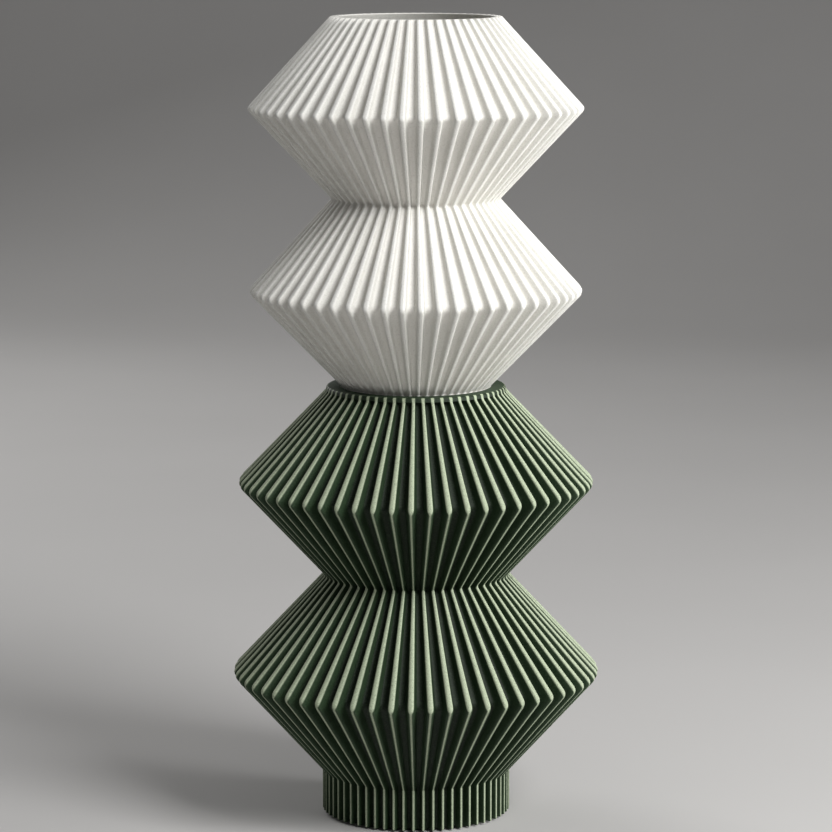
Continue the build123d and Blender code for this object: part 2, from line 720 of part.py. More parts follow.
# The rocker stands tilted in its off position. Its ends are round about the pivot.
rocker_plane = Plane(
    origin=rocker_pivot,
    x_dir=(cos(radians(ROCKER_TILT)), -sin(radians(ROCKER_TILT)), 0),
    z_dir=(0, 0, 1),
)
face_drop = ROCKER_R * sin(radians(ROCKER_TILT))

with BuildPart() as switch_rocker:
    with BuildSketch(rocker_plane):
        Circle(ROCKER_R)
        with BuildLine():
            Polyline(
                (-ROCKER_R, -ROCKER_DEPTH + face_drop),
                (0, -ROCKER_DEPTH),
                (ROCKER_R, -ROCKER_DEPTH + face_drop),
                (ROCKER_R, ROCKER_FACE),
                (0, ROCKER_FACE - face_drop),
                (-ROCKER_R, ROCKER_FACE),
                close=True,
            )
        make_face(mode=Mode.INTERSECT)
    extrude(amount=ROCKER_WIDTH / 2, both=True)
    with BuildSketch(rocker_plane):
        Circle(ROCKER_PIN_R)
    extrude(amount=ROCKER_WIDTH / 2 + ROCKER_PIN_LENGTH - ROCKER_PIN_CLEAR, both=True)
save(switch_rocker, "switch_rocker")

# ---------------------------------------------------------------- bulb

dome_middle = BULB_TIP + BULB_LENGTH - BULB_R
dome_foot_r = (BULB_R**2 - (dome_middle - BULB_HOUSING_TOP) ** 2) ** 0.5
dome_inner_r = BULB_R - BULB_WALL
dome_inner_foot_r = (dome_inner_r**2 - (dome_middle - BULB_HOUSING_TOP) ** 2) ** 0.5

with BuildPart() as bulb_dome:
    with BuildSketch(Plane.XZ):
        with BuildLine():
            RadiusArc((dome_foot_r, BULB_HOUSING_TOP), (BULB_R, dome_middle), -BULB_R)
            RadiusArc((BULB_R, dome_middle), (0, dome_middle + BULB_R), -BULB_R)
            Line((0, dome_middle + BULB_R), (0, dome_middle + dome_inner_r))
            RadiusArc((0, dome_middle + dome_inner_r), (dome_inner_r, dome_middle), dome_inner_r)
            RadiusArc((dome_inner_r, dome_middle), (dome_inner_foot_r, BULB_HOUSING_TOP), dome_inner_r)
            Line((dome_inner_foot_r, BULB_HOUSING_TOP), (dome_foot_r, BULB_HOUSING_TOP))
        make_face()
    revolve(axis=Axis.Z)
save(bulb_dome, "bulb_dome")

with BuildPart() as bulb_housing:
    with BuildSketch(Plane.XZ):
        with BuildLine():
            Polyline(
                (BULB_SHELL_R - BULB_WALL, BULB_SHELL_TOP),
                (BULB_NECK_R, BULB_SHELL_TOP),
                (BULB_NECK_R, BULB_SHELL_TOP + BULB_COLLAR),
                (dome_foot_r, BULB_HOUSING_TOP),
                (dome_foot_r - 2 * BULB_WALL, BULB_HOUSING_TOP),
                (dome_foot_r - 2 * BULB_WALL, BULB_HOUSING_TOP - LED_PLATE_THICK),
                (BULB_NECK_R - BULB_WALL, BULB_SHELL_TOP + 2 * BULB_COLLAR),
                (BULB_SHELL_R - BULB_WALL, BULB_SHELL_TOP + BULB_COLLAR),
                close=True,
            )
        make_face()
    revolve(axis=Axis.Z)
    neck_rim = bulb_housing.edges().filter_by(GeomType.CIRCLE).group_by(Axis.Z)[2][-1]
    fillet(neck_rim, radius=NECK_EDGE)
save(bulb_housing, "bulb_housing")

with BuildPart() as bulb_screw_shell:
    with BuildSketch(Plane.XY.offset(BULB_SHELL_BOTTOM)):
        Circle(BULB_SHELL_R)
        Circle(BULB_SHELL_R - SHELL_SHEET, mode=Mode.SUBTRACT)
    extrude(amount=BULB_SHELL_TOP - BULB_SHELL_BOTTOM)
save(bulb_screw_shell, "bulb_screw_shell")

with BuildPart() as bulb_insulator:
    with BuildSketch(Plane.XZ):
        with BuildLine():
            Polyline(
                (0, BULB_TIP + BULB_TIP_THICK),
                (BULB_TIP_R, BULB_TIP + BULB_TIP_THICK),
                (BULB_SHELL_R - SHELL_SHEET, BULB_SHELL_BOTTOM),
                (BULB_SHELL_R - SHELL_SHEET, BULB_SHELL_BOTTOM + BULB_COLLAR),
                (0, BULB_SHELL_BOTTOM + BULB_COLLAR),
                close=True,
            )
        make_face()
    revolve(axis=Axis.Z)
save(bulb_insulator, "bulb_insulator")

with BuildPart() as bulb_tip_contact:
    with BuildSketch(Plane.XY.offset(BULB_TIP)):
        Circle(BULB_TIP_R)
    extrude(amount=BULB_TIP_THICK)
    fillet(bulb_tip_contact.edges().group_by(Axis.Z)[0], radius=HEAD_EDGE)
save(bulb_tip_contact, "bulb_tip_contact")

with BuildPart() as bulb_led_plate:
    with BuildSketch(Plane.XY.offset(BULB_HOUSING_TOP - LED_PLATE_THICK)):
        Circle(dome_foot_r - 2 * BULB_WALL)
    extrude(amount=LED_PLATE_THICK)
save(bulb_led_plate, "bulb_led_plate")

with BuildPart() as bulb_leds:
    with BuildSketch(Plane.XY.offset(BULB_HOUSING_TOP)):
        with PolarLocations(LED_CIRCLE_R, LED_COUNT):
            Rectangle(LED_SIZE[0], LED_SIZE[1])
    extrude(amount=LED_SIZE[2])
save(bulb_leds, "bulb_leds")

with BuildPart() as bulb_driver:
    # Upright driver board with its capacitor and choke.
    board_bottom = BULB_SHELL_BOTTOM + BULB_COLLAR + DRIVER_GAP
    board_top = BULB_HOUSING_TOP - LED_PLATE_THICK - DRIVER_GAP
    with BuildSketch(Plane.XY.offset(board_bottom)):
        Rectangle(DRIVER_WIDTH, DRIVER_THICK)
    extrude(amount=board_top - board_bottom)
    with BuildSketch(Plane.XY.offset(BULB_SHELL_TOP)):
        with Locations((0, CAPACITOR_R)):
            Circle(CAPACITOR_R)
    extrude(amount=CAPACITOR_LENGTH)
    with BuildSketch(Plane.XY.offset(BULB_SHELL_TOP)):
        with Locations((0, -DRIVER_THICK / 2 - CHOKE_DEPTH / 2)):
            Rectangle(DRIVER_WIDTH / 2, CHOKE_DEPTH)
    extrude(amount=CAPACITOR_LENGTH / 2)
save(bulb_driver, "bulb_driver")

# ---------------------------------------------------------------- leads in the base

tab_y = inlet_back - TAB_LENGTH / 2
switch_tab_y = switch_back - TAB_LENGTH / 2
receptacle_top = SERVICE_Z + RECEPTACLE[2] / 2
neutral_x = -inlet_pin_x[1]
live_x = -inlet_pin_x[0]
feed_x = -switch_tab_x[1]
load_x = -switch_tab_x[0]

with BuildPart() as wire_receptacles:
    with BuildSketch(Plane.XY.offset(receptacle_top)):
        with Locations((neutral_x, tab_y), (live_x, tab_y)):
            Rectangle(RECEPTACLE[0], RECEPTACLE[1])
        with Locations((feed_x, switch_tab_y), (load_x, switch_tab_y)):
            Rectangle(RECEPTACLE[0], RECEPTACLE[1])
    extrude(amount=-RECEPTACLE[2])
    with BuildSketch(Plane.XY.offset(SERVICE_Z - TAB_WIDTH / 2)):
        with Locations((neutral_x, tab_y), (live_x, tab_y)):
            Rectangle(TAB_THICK, TAB_LENGTH)
        with Locations((feed_x, switch_tab_y), (load_x, switch_tab_y)):
            Rectangle(TAB_THICK, TAB_LENGTH)
    extrude(amount=TAB_WIDTH, mode=Mode.SUBTRACT)
save(wire_receptacles, "wire_receptacles")


def lead(points, radii):
    """A round insulated wire along straight runs with round bends."""
    with BuildPart() as wire:
        with BuildLine():
            route = FilletPolyline(*points, radius=radii)
        with BuildSketch(Plane(origin=points[0], z_dir=route % 0)):
            Circle(WIRE_R)
        sweep()
    return wire


wire_neutral = lead(
    [
        (neutral_x, tab_y, receptacle_top),
        (neutral_x, tab_y, LEAD_RISE),
        (-WIRE_X, 0, LEAD_ENTRY),
        (-WIRE_X, 0, CORE_BOTTOM),
    ],
    [WIRE_BEND, WIRE_BEND],
)
save(wire_neutral, "wire_neutral")

wire_switched_live = lead(
    [
        (load_x, switch_tab_y, receptacle_top),
        (load_x, switch_tab_y, LEAD_RISE),
        (WIRE_X, 0, LEAD_ENTRY),
        (WIRE_X, 0, CORE_BOTTOM),
    ],
    [WIRE_BEND, WIRE_BEND],
)
save(wire_switched_live, "wire_switched_live")

wire_live_link = lead(
    [
        (live_x, tab_y, receptacle_top),
        (live_x, tab_y, LINK_TOP),
        (feed_x, switch_tab_y, LINK_TOP),
        (feed_x, switch_tab_y, receptacle_top),
    ],
    [LINK_BEND, LINK_BEND],
)
save(wire_live_link, "wire_live_link")
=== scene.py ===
"""Pleated table lamp: the printed shells, the bulb and its holder, and the hardware of the foot.

Sizes and places are in millimetres and become metres where MM multiplies them; the floor, the camera
and the lights are in metres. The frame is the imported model's, with +Z up and the back towards +Y.
"""

import json
from math import asin, cos, hypot, pi, radians, sin, sqrt, tan

import bmesh
import bpy
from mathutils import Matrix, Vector


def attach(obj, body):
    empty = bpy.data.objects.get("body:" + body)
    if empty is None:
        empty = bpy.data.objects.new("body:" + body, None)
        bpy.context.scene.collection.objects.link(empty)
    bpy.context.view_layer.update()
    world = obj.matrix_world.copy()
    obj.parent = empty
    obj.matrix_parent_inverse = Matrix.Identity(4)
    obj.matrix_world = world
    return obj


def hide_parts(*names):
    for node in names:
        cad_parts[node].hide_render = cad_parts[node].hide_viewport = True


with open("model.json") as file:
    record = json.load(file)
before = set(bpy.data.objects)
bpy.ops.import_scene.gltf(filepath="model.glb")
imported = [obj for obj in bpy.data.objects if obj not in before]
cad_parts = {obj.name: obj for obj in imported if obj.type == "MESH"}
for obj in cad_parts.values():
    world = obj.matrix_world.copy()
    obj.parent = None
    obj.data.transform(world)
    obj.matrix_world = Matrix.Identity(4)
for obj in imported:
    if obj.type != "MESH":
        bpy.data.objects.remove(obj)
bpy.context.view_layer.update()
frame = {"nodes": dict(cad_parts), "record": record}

MM = 0.001
# Points closer than this are one point, in millimetres.
MERGE = 0.002
SMOOTH_ANGLE = 35


# ---------------------------------------------------------------- working in edit mode


def clear_selection():
    """Nothing selected, nothing active, in object mode."""
    if bpy.context.object and bpy.context.object.mode != "OBJECT":
        bpy.ops.object.mode_set(mode="OBJECT")
    bpy.ops.object.select_all(action="DESELECT")
    bpy.context.view_layer.objects.active = None


def take(piece):
    """Makes one piece the only selected and active object."""
    clear_selection()
    piece.select_set(True)
    bpy.context.view_layer.objects.active = piece


def named(name):
    """Names the piece that was just added."""
    piece = bpy.context.object
    piece.name = name
    piece.data.name = name
    return piece


def pick(test, kind="VERT"):
    """In edit mode, selects the vertices, edges or faces for which the test on each element is true."""
    mesh = bmesh.from_edit_mesh(bpy.context.object.data)
    elements = {"VERT": mesh.verts, "EDGE": mesh.edges, "FACE": mesh.faces}[kind]
    chosen = [element for element in elements if test(element)]
    bpy.ops.mesh.select_mode(type=kind)
    bpy.ops.mesh.select_all(action="DESELECT")
    for element in chosen:
        element.select_set(True)
    mesh.select_flush_mode()
    bmesh.update_edit_mesh(bpy.context.object.data)


def near(value, goal):
    """Whether a length in metres is the wanted one in millimetres, to a hundredth of a millimetre."""
    return abs(value - goal * MM) < 0.01 * MM


def finish_mesh(piece, angle=SMOOTH_ANGLE):
    """Merges doubles, turns the faces outwards and smooths the edges under the angle in degrees."""
    take(piece)
    bpy.ops.object.mode_set(mode="EDIT")
    bpy.ops.mesh.select_mode(type="VERT")
    bpy.ops.mesh.select_all(action="SELECT")
    bpy.ops.mesh.remove_doubles(threshold=MERGE * MM)
    bpy.ops.mesh.normals_make_consistent(inside=False)
    bpy.ops.mesh.select_all(action="DESELECT")
    bpy.ops.object.mode_set(mode="OBJECT")
    bpy.ops.object.shade_smooth_by_angle(angle=radians(angle))
    return piece


def apply_modifiers(piece):
    """Applies every modifier of a piece, in order."""
    take(piece)
    for modifier in list(piece.modifiers):
        bpy.ops.object.modifier_apply(modifier=modifier.name)


def settle(piece):
    """Puts the place, turn and size of a piece into its mesh."""
    take(piece)
    bpy.ops.object.transform_apply(location=True, rotation=True, scale=True)
    return piece


# ---------------------------------------------------------------- outlines


def rounded(corners, steps=4):
    """An open outline of (radius, height, blend radius) corners, with each blend as a short arc."""
    points = []
    for number, (r, z, blend) in enumerate(corners):
        here = Vector((r, z))
        if blend == 0 or number in (0, len(corners) - 1):
            points.append((here.x, here.y))
            continue
        back = Vector(corners[number - 1][:2]) - here
        ahead = Vector(corners[number + 1][:2]) - here
        half = back.angle(ahead) / 2
        reach = blend / tan(half)
        middle = here + (back.normalized() + ahead.normalized()).normalized() * (blend / sin(half))
        start = here + back.normalized() * reach - middle
        end = here + ahead.normalized() * reach - middle
        for step in range(steps + 1):
            spoke = start.slerp(end, step / steps).normalized() * blend
            points.append(tuple(middle + spoke))
    return points


def draw_line(name, points):
    """A line of edges through points in millimetres, drawn point after point, left open in edit mode."""
    clear_selection()
    bpy.ops.mesh.primitive_circle_add(vertices=3, radius=MM, location=(0, 0, 0))
    piece = named(name)
    bpy.ops.object.mode_set(mode="EDIT")
    pick(lambda vertex: vertex.co.y < MM / 2)
    bpy.ops.mesh.delete(type="VERT")
    pick(lambda vertex: True)
    corner = bmesh.from_edit_mesh(piece.data).verts[:][0].co
    bpy.ops.transform.translate(value=Vector(points[0]) * MM - corner)
    for point, point_next in zip(points, points[1:]):
        step = (Vector(point_next) - Vector(point)) * MM
        bpy.ops.mesh.extrude_vertices_move(TRANSFORM_OT_translate={"value": step})
    return piece


def lathe(name, corners, turns=96, blend_steps=4, angle=SMOOTH_ANGLE, middle=(0, 0)):
    """A round piece, spun about the vertical axis through middle from an outline of (radius, height,
    blend radius) corners in millimetres. The outline is closed unless both its ends are on the axis."""
    points = [(r, 0, z) for r, z in rounded(corners, blend_steps)]
    on_axis = points[0][0] == 0 and points[-1][0] == 0
    piece = draw_line(name, points if on_axis else points + points[:1])
    bpy.ops.mesh.select_all(action="SELECT")
    bpy.ops.mesh.spin(steps=turns, angle=2 * pi, center=(0, 0, 0), axis=(0, 0, 1))
    finish_mesh(piece, angle)
    piece.location = (middle[0] * MM, middle[1] * MM, 0)
    return settle(piece)


def block(name, low, high, bevel=0.4, segments=3):
    """A box between two corners in millimetres, with every edge bevelled."""
    clear_selection()
    centre = [(a + b) / 2 * MM for a, b in zip(low, high)]
    size = [(b - a) * MM for a, b in zip(low, high)]
    bpy.ops.mesh.primitive_cube_add(size=1, location=centre, scale=size)
    piece = settle(named(name))
    if bevel:
        bpy.ops.object.mode_set(mode="EDIT")
        bpy.ops.mesh.select_all(action="SELECT")
        bpy.ops.mesh.bevel(offset=bevel * MM, segments=segments, affect="EDGES")
        bpy.ops.object.mode_set(mode="OBJECT")
        bpy.ops.object.shade_smooth_by_angle(angle=radians(SMOOTH_ANGLE))
    return piece


def joined(name, pieces):
    """Several pieces as one object."""
    clear_selection()
    for piece in pieces:
        piece.select_set(True)
    bpy.context.view_layer.objects.active = pieces[0]
    bpy.ops.object.join()
    return named(name)


def combine(piece, other, operation):
    """Adds another closed piece to this one, or cuts it away, and removes the other."""
    take(piece)
    modifier = piece.modifiers.new("combine", "BOOLEAN")
    modifier.operation = operation
    modifier.solver = "MANIFOLD"
    modifier.object = other
    apply_modifiers(piece)
    bpy.data.objects.remove(other)
    return piece


# ---------------------------------------------------------------- ribbed shells

# Slack in millimetres and in shares of the pitch, for finding one row or one column of points again.
NUDGE = 0.02
SHARE_SLACK = 0.005
RIB_ANGLE = 40
# Half of one rib's section: share of the pitch from the crest's middle, and how far the section
# has dropped from crest to valley there. The crest is softly rounded and the valley is a U.
RIB_SECTION = {
    0.0: 0.0,
    0.05: 0.004,
    0.09: 0.02,
    0.125: 0.055,
    0.155: 0.12,
    0.175: 0.22,
    0.2: 0.45,
    0.225: 0.68,
    0.255: 0.85,
    0.3: 0.94,
    0.37: 0.985,
    0.5: 1.0,
}


def ribbed_shell(name, ribs, crest_turn, rows):
    """A shell of vertical ribs. rows are (radius, height, rib depth as a share of the radius), in
    millimetres, all round the section of the wall. One rib is shaped, then copied round the axis."""
    pitch = 2 * pi / ribs
    half = list(RIB_SECTION)
    shares = [-share for share in reversed(half[1:])] + half
    radius, height, depth = rows[0]
    line = []
    for share in shares:
        turn = crest_turn + share * pitch
        r = radius * (1 - depth * RIB_SECTION[abs(share)])
        line.append((r * cos(turn), r * sin(turn), height))
    piece = draw_line(name, line)
    bpy.ops.mesh.select_all(action="SELECT")
    crest = Vector((cos(crest_turn), sin(crest_turn)))
    for radius_next, height_next, depth_next in rows[1:] + rows[:1]:
        bpy.ops.mesh.extrude_region_move(
            TRANSFORM_OT_translate={"value": (0, 0, (height_next - height) * MM)}
        )
        scale = radius_next / radius
        bpy.ops.transform.resize(value=(scale, scale, 1), center_override=(0, 0, 0))
        if depth_next != depth:
            low = radius_next * (1 - max(depth, depth_next)) - NUDGE

            def in_row(vertex):
                r = hypot(vertex.co.x, vertex.co.y) / MM
                return near(vertex.co.z, height_next) and low < r < radius_next + NUDGE

            for share, drop in RIB_SECTION.items():
                change = (1 - depth_next * drop) / (1 - depth * drop)
                pick(
                    lambda vertex: in_row(vertex)
                    and abs(crest.angle(vertex.co.xy) / pitch - share) < SHARE_SLACK
                )
                bpy.ops.transform.resize(value=(change, change, 1), center_override=(0, 0, 0))
            pick(in_row)
        radius, height, depth = radius_next, height_next, depth_next
    bpy.ops.mesh.select_all(action="SELECT")
    bpy.ops.mesh.remove_doubles(threshold=MERGE * MM)
    bpy.ops.mesh.spin(
        steps=ribs - 1, dupli=True, angle=pitch * (ribs - 1), center=(0, 0, 0), axis=(0, 0, 1)
    )
    return finish_mesh(piece, RIB_ANGLE)


def faded(rows, low, high, depth):
    """Rows with rib depths. The ribs run out in a round arch between the two heights, towards high."""
    result = []
    for r, z in rows:
        reach = min(max((z - low) / (high - low), 0), 1)
        result.append((r, z, depth * sqrt(1 - reach**2)))
    return result


# ---------------------------------------------------------------- finishes


class Signal:
    """One output of a node. Arithmetic on it adds Math nodes."""

    def __init__(self, finish, socket):
        self.finish = finish
        self.socket = socket

    def maths(self, operation, first, second):
        return self.finish.node("ShaderNodeMath", {"operation": operation}, {0: first, 1: second})

    def __add__(self, other):
        return self.maths("ADD", self, other)

    def __sub__(self, other):
        return self.maths("SUBTRACT", self, other)

    def __rsub__(self, other):
        return self.maths("SUBTRACT", other, self)

    def __mul__(self, other):
        return self.maths("MULTIPLY", self, other)

    __radd__ = __add__
    __rmul__ = __mul__


class Finish:
    """A material with one principled shader, whose nodes are added from Python."""

    def __init__(self, name, **constants):
        self.material = bpy.data.materials.new(name)
        self.material.use_nodes = True
        self.tree = self.material.node_tree
        self.shader = self.tree.nodes["Principled BSDF"]
        for socket, value in constants.items():
            self.shader.inputs[socket.replace("_", " ")].default_value = value
        self.place = self.node("ShaderNodeTexCoord", output="Object")

    def node(self, kind, settings=None, inputs=None, output=0):
        """Adds a node: its settings first, then the values or links of its sockets."""
        node = self.tree.nodes.new(kind)
        for name, value in (settings or {}).items():
            setattr(node, name, value)
        for socket, value in (inputs or {}).items():
            if isinstance(value, Signal):
                self.tree.links.new(value.socket, node.inputs[socket])
            else:
                node.inputs[socket].default_value = value
        return Signal(self, node.outputs[output])

    def feed(self, socket, signal):
        """Links a signal to a socket of the shader."""
        self.tree.links.new(signal.socket, self.shader.inputs[socket])

    def stretched(self, scale):
        """The piece's own coordinates, scaled along each axis."""
        return self.node("ShaderNodeMapping", None, {"Vector": self.place, "Scale": scale})

    def noise(self, size, detail=2.0, roughness=0.5, place=None):
        """Noise with features of the given size in millimetres."""
        return self.node(
            "ShaderNodeTexNoise",
            None,
            {
                "Vector": place or self.place,
                "Scale": 1 / (size * MM),
                "Detail": detail,
                "Roughness": roughness,
            },
        )

    def mix(self, factor, first, second):
        """Mixes two colours."""
        return self.node(
            "ShaderNodeMix",
            {"data_type": "RGBA"},
            {0: factor, 6: first, 7: second},
            output=2,
        )

    def spread(self, signal, low, high, start=0.0, end=1.0):
        """Moves a signal from the range low to high onto start to end."""
        return self.node(
            "ShaderNodeMapRange",
            None,
            {"Value": signal, "From Min": low, "From Max": high, "To Min": start, "To Max": end},
        )

    def bump(self, height, depth, strength, below=None):
        """A bump of the given depth in millimetres, over an earlier one."""
        inputs = {"Strength": strength, "Distance": depth * MM, "Height": height}
        if below:
            inputs["Normal"] = below
        return self.node("ShaderNodeBump", None, inputs)

    def dress(self, piece):
        """Gives this finish to a piece, in place of what it has."""
        piece.data.materials.clear()
        piece.data.materials.append(self.material)
        return piece


def colour(r, g, b):
    """A linear colour with full alpha."""
    return (r, g, b, 1.0)


# Height of one printed layer, in millimetres.
LAYER = 0.4
# Where the painted crest highlight ends and the painted valley colour begins, as shares of the pitch
# from the crest.
PAINTED_CREST_EDGE = (0.06, 0.125)
PAINTED_VALLEY_EDGE = (0.2, 0.34)


def painted_rib_masks(finish, ribs, turn, panel_y=None):
    """Two masks of a ribbed shell for painted light: a painted highlight along each outer crest, wider
    where the wall faces up as though lit from above, and a painted colour in each valley. A flat panel
    that faces the back at panel_y, in millimetres, gets neither."""
    parts = [
        finish.node("ShaderNodeSeparateXYZ", None, {0: finish.place}, output=axis) for axis in "XYZ"
    ]
    angle = finish.node("ShaderNodeMath", {"operation": "ARCTAN2"}, {0: parts[1], 1: parts[0]})
    phase = (angle - turn) * (ribs / (2 * pi))
    # Distance from the nearest crest, as a share of the pitch.
    share = finish.node("ShaderNodeMath", {"operation": "PINGPONG"}, {0: phase, 1: 0.5})
    flat = finish.node(
        "ShaderNodeVectorMath", {"operation": "MULTIPLY"}, {0: finish.place, 1: (1, 1, 0)}
    )
    spoke = finish.node("ShaderNodeVectorMath", {"operation": "NORMALIZE"}, {0: flat})
    facing = finish.node("ShaderNodeTexCoord", output="Normal")
    outward = finish.node(
        "ShaderNodeVectorMath", {"operation": "DOT_PRODUCT"}, {0: spoke, 1: facing}, output="Value"
    )
    rise = finish.node("ShaderNodeSeparateXYZ", None, {0: facing}, output="Z")
    # The painted crest highlight is wider on walls that face up and narrower on walls that face down, as
    # if lit from above.
    edge = share - finish.spread(rise, -0.3, 0.3, -0.04, 0.075)
    outside = finish.spread(outward, 0.1, 0.4)
    if panel_y:
        # Fades the painted highlight and painted valley masks out on faces that look straight back and
        # lie no farther back than the panel.
        back = finish.node("ShaderNodeSeparateXYZ", None, {0: facing}, output="Y")
        near_panel = finish.spread(parts[1], panel_y * MM, (panel_y + 0.3) * MM, 1.0, 0.0)
        outside = outside * (1 - near_panel * finish.spread(back, 0.97, 0.99))
    painted_crest_mask = finish.spread(edge, *PAINTED_CREST_EDGE, 1.0, 0.0) * outside
    painted_valley_mask = finish.spread(share, *PAINTED_VALLEY_EDGE) * outside
    return painted_crest_mask, painted_valley_mask


def printed(name, base, deep, bright, crest, painted_valley_colour, ribs, turn, panel_y=None, **constants):
    """Matt printed plastic: layer lines, a grain and a slow drift, then painted light: a pale painted
    highlight along each crest and a painted colour for the light in each valley.
    """
    finish = Finish(name, **constants)
    drift = finish.noise(34, 2.0)
    grain = finish.noise(0.85, 2.0, 0.7)
    speck = finish.noise(1.1, 3.0, 0.6)
    wobble = finish.noise(9, 1.0)
    height = finish.node("ShaderNodeSeparateXYZ", None, {0: finish.place}, output="Z")
    turns = height * (2 * pi / (LAYER * MM)) + wobble * 3.0
    layers = finish.node("ShaderNodeMath", {"operation": "SINE"}, {0: turns}) * 0.5 + 0.5
    painted_crest_mask, painted_valley_mask = painted_rib_masks(finish, ribs, turn, panel_y)
    shade = finish.mix(finish.spread(drift, 0.35, 0.65, 0.0, 0.5), base, deep)
    # Painted valley colour: painted shade in the dark valleys of the green base, painted light in the
    # lighter valleys of the white shade.
    shade = finish.mix(painted_valley_mask, shade, painted_valley_colour)
    # Painted highlight along each crest, broken up by the speck noise.
    shade = finish.mix(painted_crest_mask * finish.spread(speck, 0.3, 0.7, 0.6, 1.0), shade, crest)
    shade = finish.mix(finish.spread(speck, 0.52, 0.78, 0.0, 0.4), shade, bright)
    shade = finish.mix(finish.spread(grain, 0.4, 0.75, 0.0, 0.5), shade, bright)
    shade = finish.mix(finish.spread(grain, 0.28, 0.48, 0.55, 0.0), shade, deep)
    finish.feed("Base Color", shade)
    finish.feed("Roughness", finish.spread(grain, 0.3, 0.7, 0.5, 0.68))
    lines = finish.bump(layers, 0.05, 0.5)
    finish.feed("Normal", finish.bump(grain, 0.16, 0.65, lines))
    return finish


BASE_RIBS = 60
SHADE_RIBS = 58
# Turn of one crest of each shell about the axis; the front is at -pi / 2.
BASE_CREST = -pi / 2
SHADE_CREST = -pi / 2 + pi / SHADE_RIBS
# The flat service panel at the back of the foot.
PANEL_FACE = 47.0

base_green = printed(
    "base_green",
    base=colour(0.020, 0.042, 0.018),
    deep=colour(0.013, 0.029, 0.012),
    bright=colour(0.055, 0.088, 0.046),
    # The crest colour is a painted highlight along each crest, and the valley colour is painted shade.
    crest=colour(0.600, 0.675, 0.480),
    painted_valley_colour=colour(0.004, 0.009, 0.004),
    ribs=BASE_RIBS,
    turn=BASE_CREST,
    panel_y=PANEL_FACE,
    Specular_IOR_Level=0.25,
)
shade_white = printed(
    "shade_white",
    base=colour(0.74, 0.73, 0.69),
    deep=colour(0.58, 0.57, 0.525),
    bright=colour(0.84, 0.83, 0.79),
    # The crest colour is a painted highlight, and the valley colour, lighter than the base, is painted
    # light in each valley.
    crest=colour(0.80, 0.795, 0.76),
    painted_valley_colour=colour(0.84, 0.82, 0.77),
    ribs=SHADE_RIBS,
    turn=SHADE_CREST,
)


def moulded(name, base, roughness, grain=0.5, depth=0.03):
    """Moulded plastic or rubber: a fine texture, faint flow marks and slightly uneven gloss. grain and
    depth are the size of the texture and its relief, in millimetres."""
    finish = Finish(name)
    flow = finish.noise(14, 3.0, 0.6)
    fine = finish.noise(grain, 2.0)
    dark = tuple(channel * 0.82 for channel in base[:3]) + (1.0,)
    finish.feed("Base Color", finish.mix(finish.spread(flow, 0.35, 0.7), base, dark))
    finish.feed("Roughness", finish.spread(flow, 0.3, 0.7, roughness - 0.06, roughness + 0.08))
    finish.feed("Normal", finish.bump(fine, depth, 0.6))
    return finish


def metal(name, base, dark, roughness, brush=(1, 1, 1), grain=0.6):
    """Bare or plated metal: fine scratches along one direction and a dull film in places."""
    finish = Finish(name, Metallic=1.0)
    streaks = finish.noise(grain, 3.0, 0.6, finish.stretched(brush))
    film = finish.noise(5, 3.0, 0.6)
    finish.feed("Base Color", finish.mix(finish.spread(film, 0.4, 0.75), base, dark))
    finish.feed("Roughness", finish.spread(streaks, 0.3, 0.7, roughness - 0.1, roughness + 0.12))
    finish.feed("Normal", finish.bump(streaks, 0.02, 0.5))
    return finish


finishes = {
    "deck_steel": moulded("deck_steel", colour(0.66, 0.66, 0.64), 0.42, 0.9, 0.05),
    "screw_steel": metal("screw_steel", colour(0.56, 0.57, 0.58), colour(0.40, 0.40, 0.41), 0.32),
    "insert_brass": metal("insert_brass", colour(0.70, 0.52, 0.24), colour(0.48, 0.33, 0.14), 0.36),
    "nipple_zinc": metal("nipple_zinc", colour(0.60, 0.61, 0.60), colour(0.42, 0.42, 0.41), 0.4),
    "holder_white": moulded("holder_white", colour(0.78, 0.77, 0.73), 0.3),
    "holder_ceramic": moulded("holder_ceramic", colour(0.80, 0.77, 0.70), 0.55, 0.3, 0.04),
    "thread_aluminium": metal(
        "thread_aluminium", colour(0.78, 0.78, 0.79), colour(0.58, 0.58, 0.60), 0.28, (1, 1, 9)
    ),
    "contact_brass": metal(
        "contact_brass", colour(0.74, 0.57, 0.28), colour(0.50, 0.36, 0.16), 0.34, (1, 7, 1)
    ),
    "cover_black": moulded("cover_black", colour(0.022, 0.026, 0.023), 0.6, 0.45, 0.08),
    "foot_rubber": moulded("foot_rubber", colour(0.030, 0.030, 0.031), 0.82, 0.35, 0.06),
    "ballast_iron": moulded("ballast_iron", colour(0.075, 0.077, 0.080), 0.5, 1.2, 0.12),
    "inlet_black": moulded("inlet_black", colour(0.014, 0.014, 0.015), 0.42, 0.4, 0.05),
    "pin_brass": metal("pin_brass", colour(0.76, 0.70, 0.52), colour(0.56, 0.50, 0.36), 0.25),
    "rocker_black": moulded("rocker_black", colour(0.018, 0.018, 0.019), 0.3, 0.3, 0.015),
    "wire_blue": moulded("wire_blue", colour(0.045, 0.12, 0.42), 0.36, 1.5, 0.03),
    "wire_brown": moulded("wire_brown", colour(0.16, 0.065, 0.028), 0.36, 1.5, 0.03),
    "bulb_opal": moulded("bulb_opal", colour(0.88, 0.87, 0.83), 0.24, 2.5, 0.01),
    "bulb_white": moulded("bulb_white", colour(0.80, 0.80, 0.78), 0.34, 0.6, 0.02),
    "bulb_black": moulded("bulb_black", colour(0.016, 0.016, 0.018), 0.38),
    "led_yellow": moulded("led_yellow", colour(0.78, 0.60, 0.12), 0.45, 0.3, 0.03),
    "driver_green": moulded("driver_green", colour(0.018, 0.16, 0.07), 0.35, 0.8, 0.05),
}
finishes["base_green"] = base_green
finishes["shade_white"] = shade_white

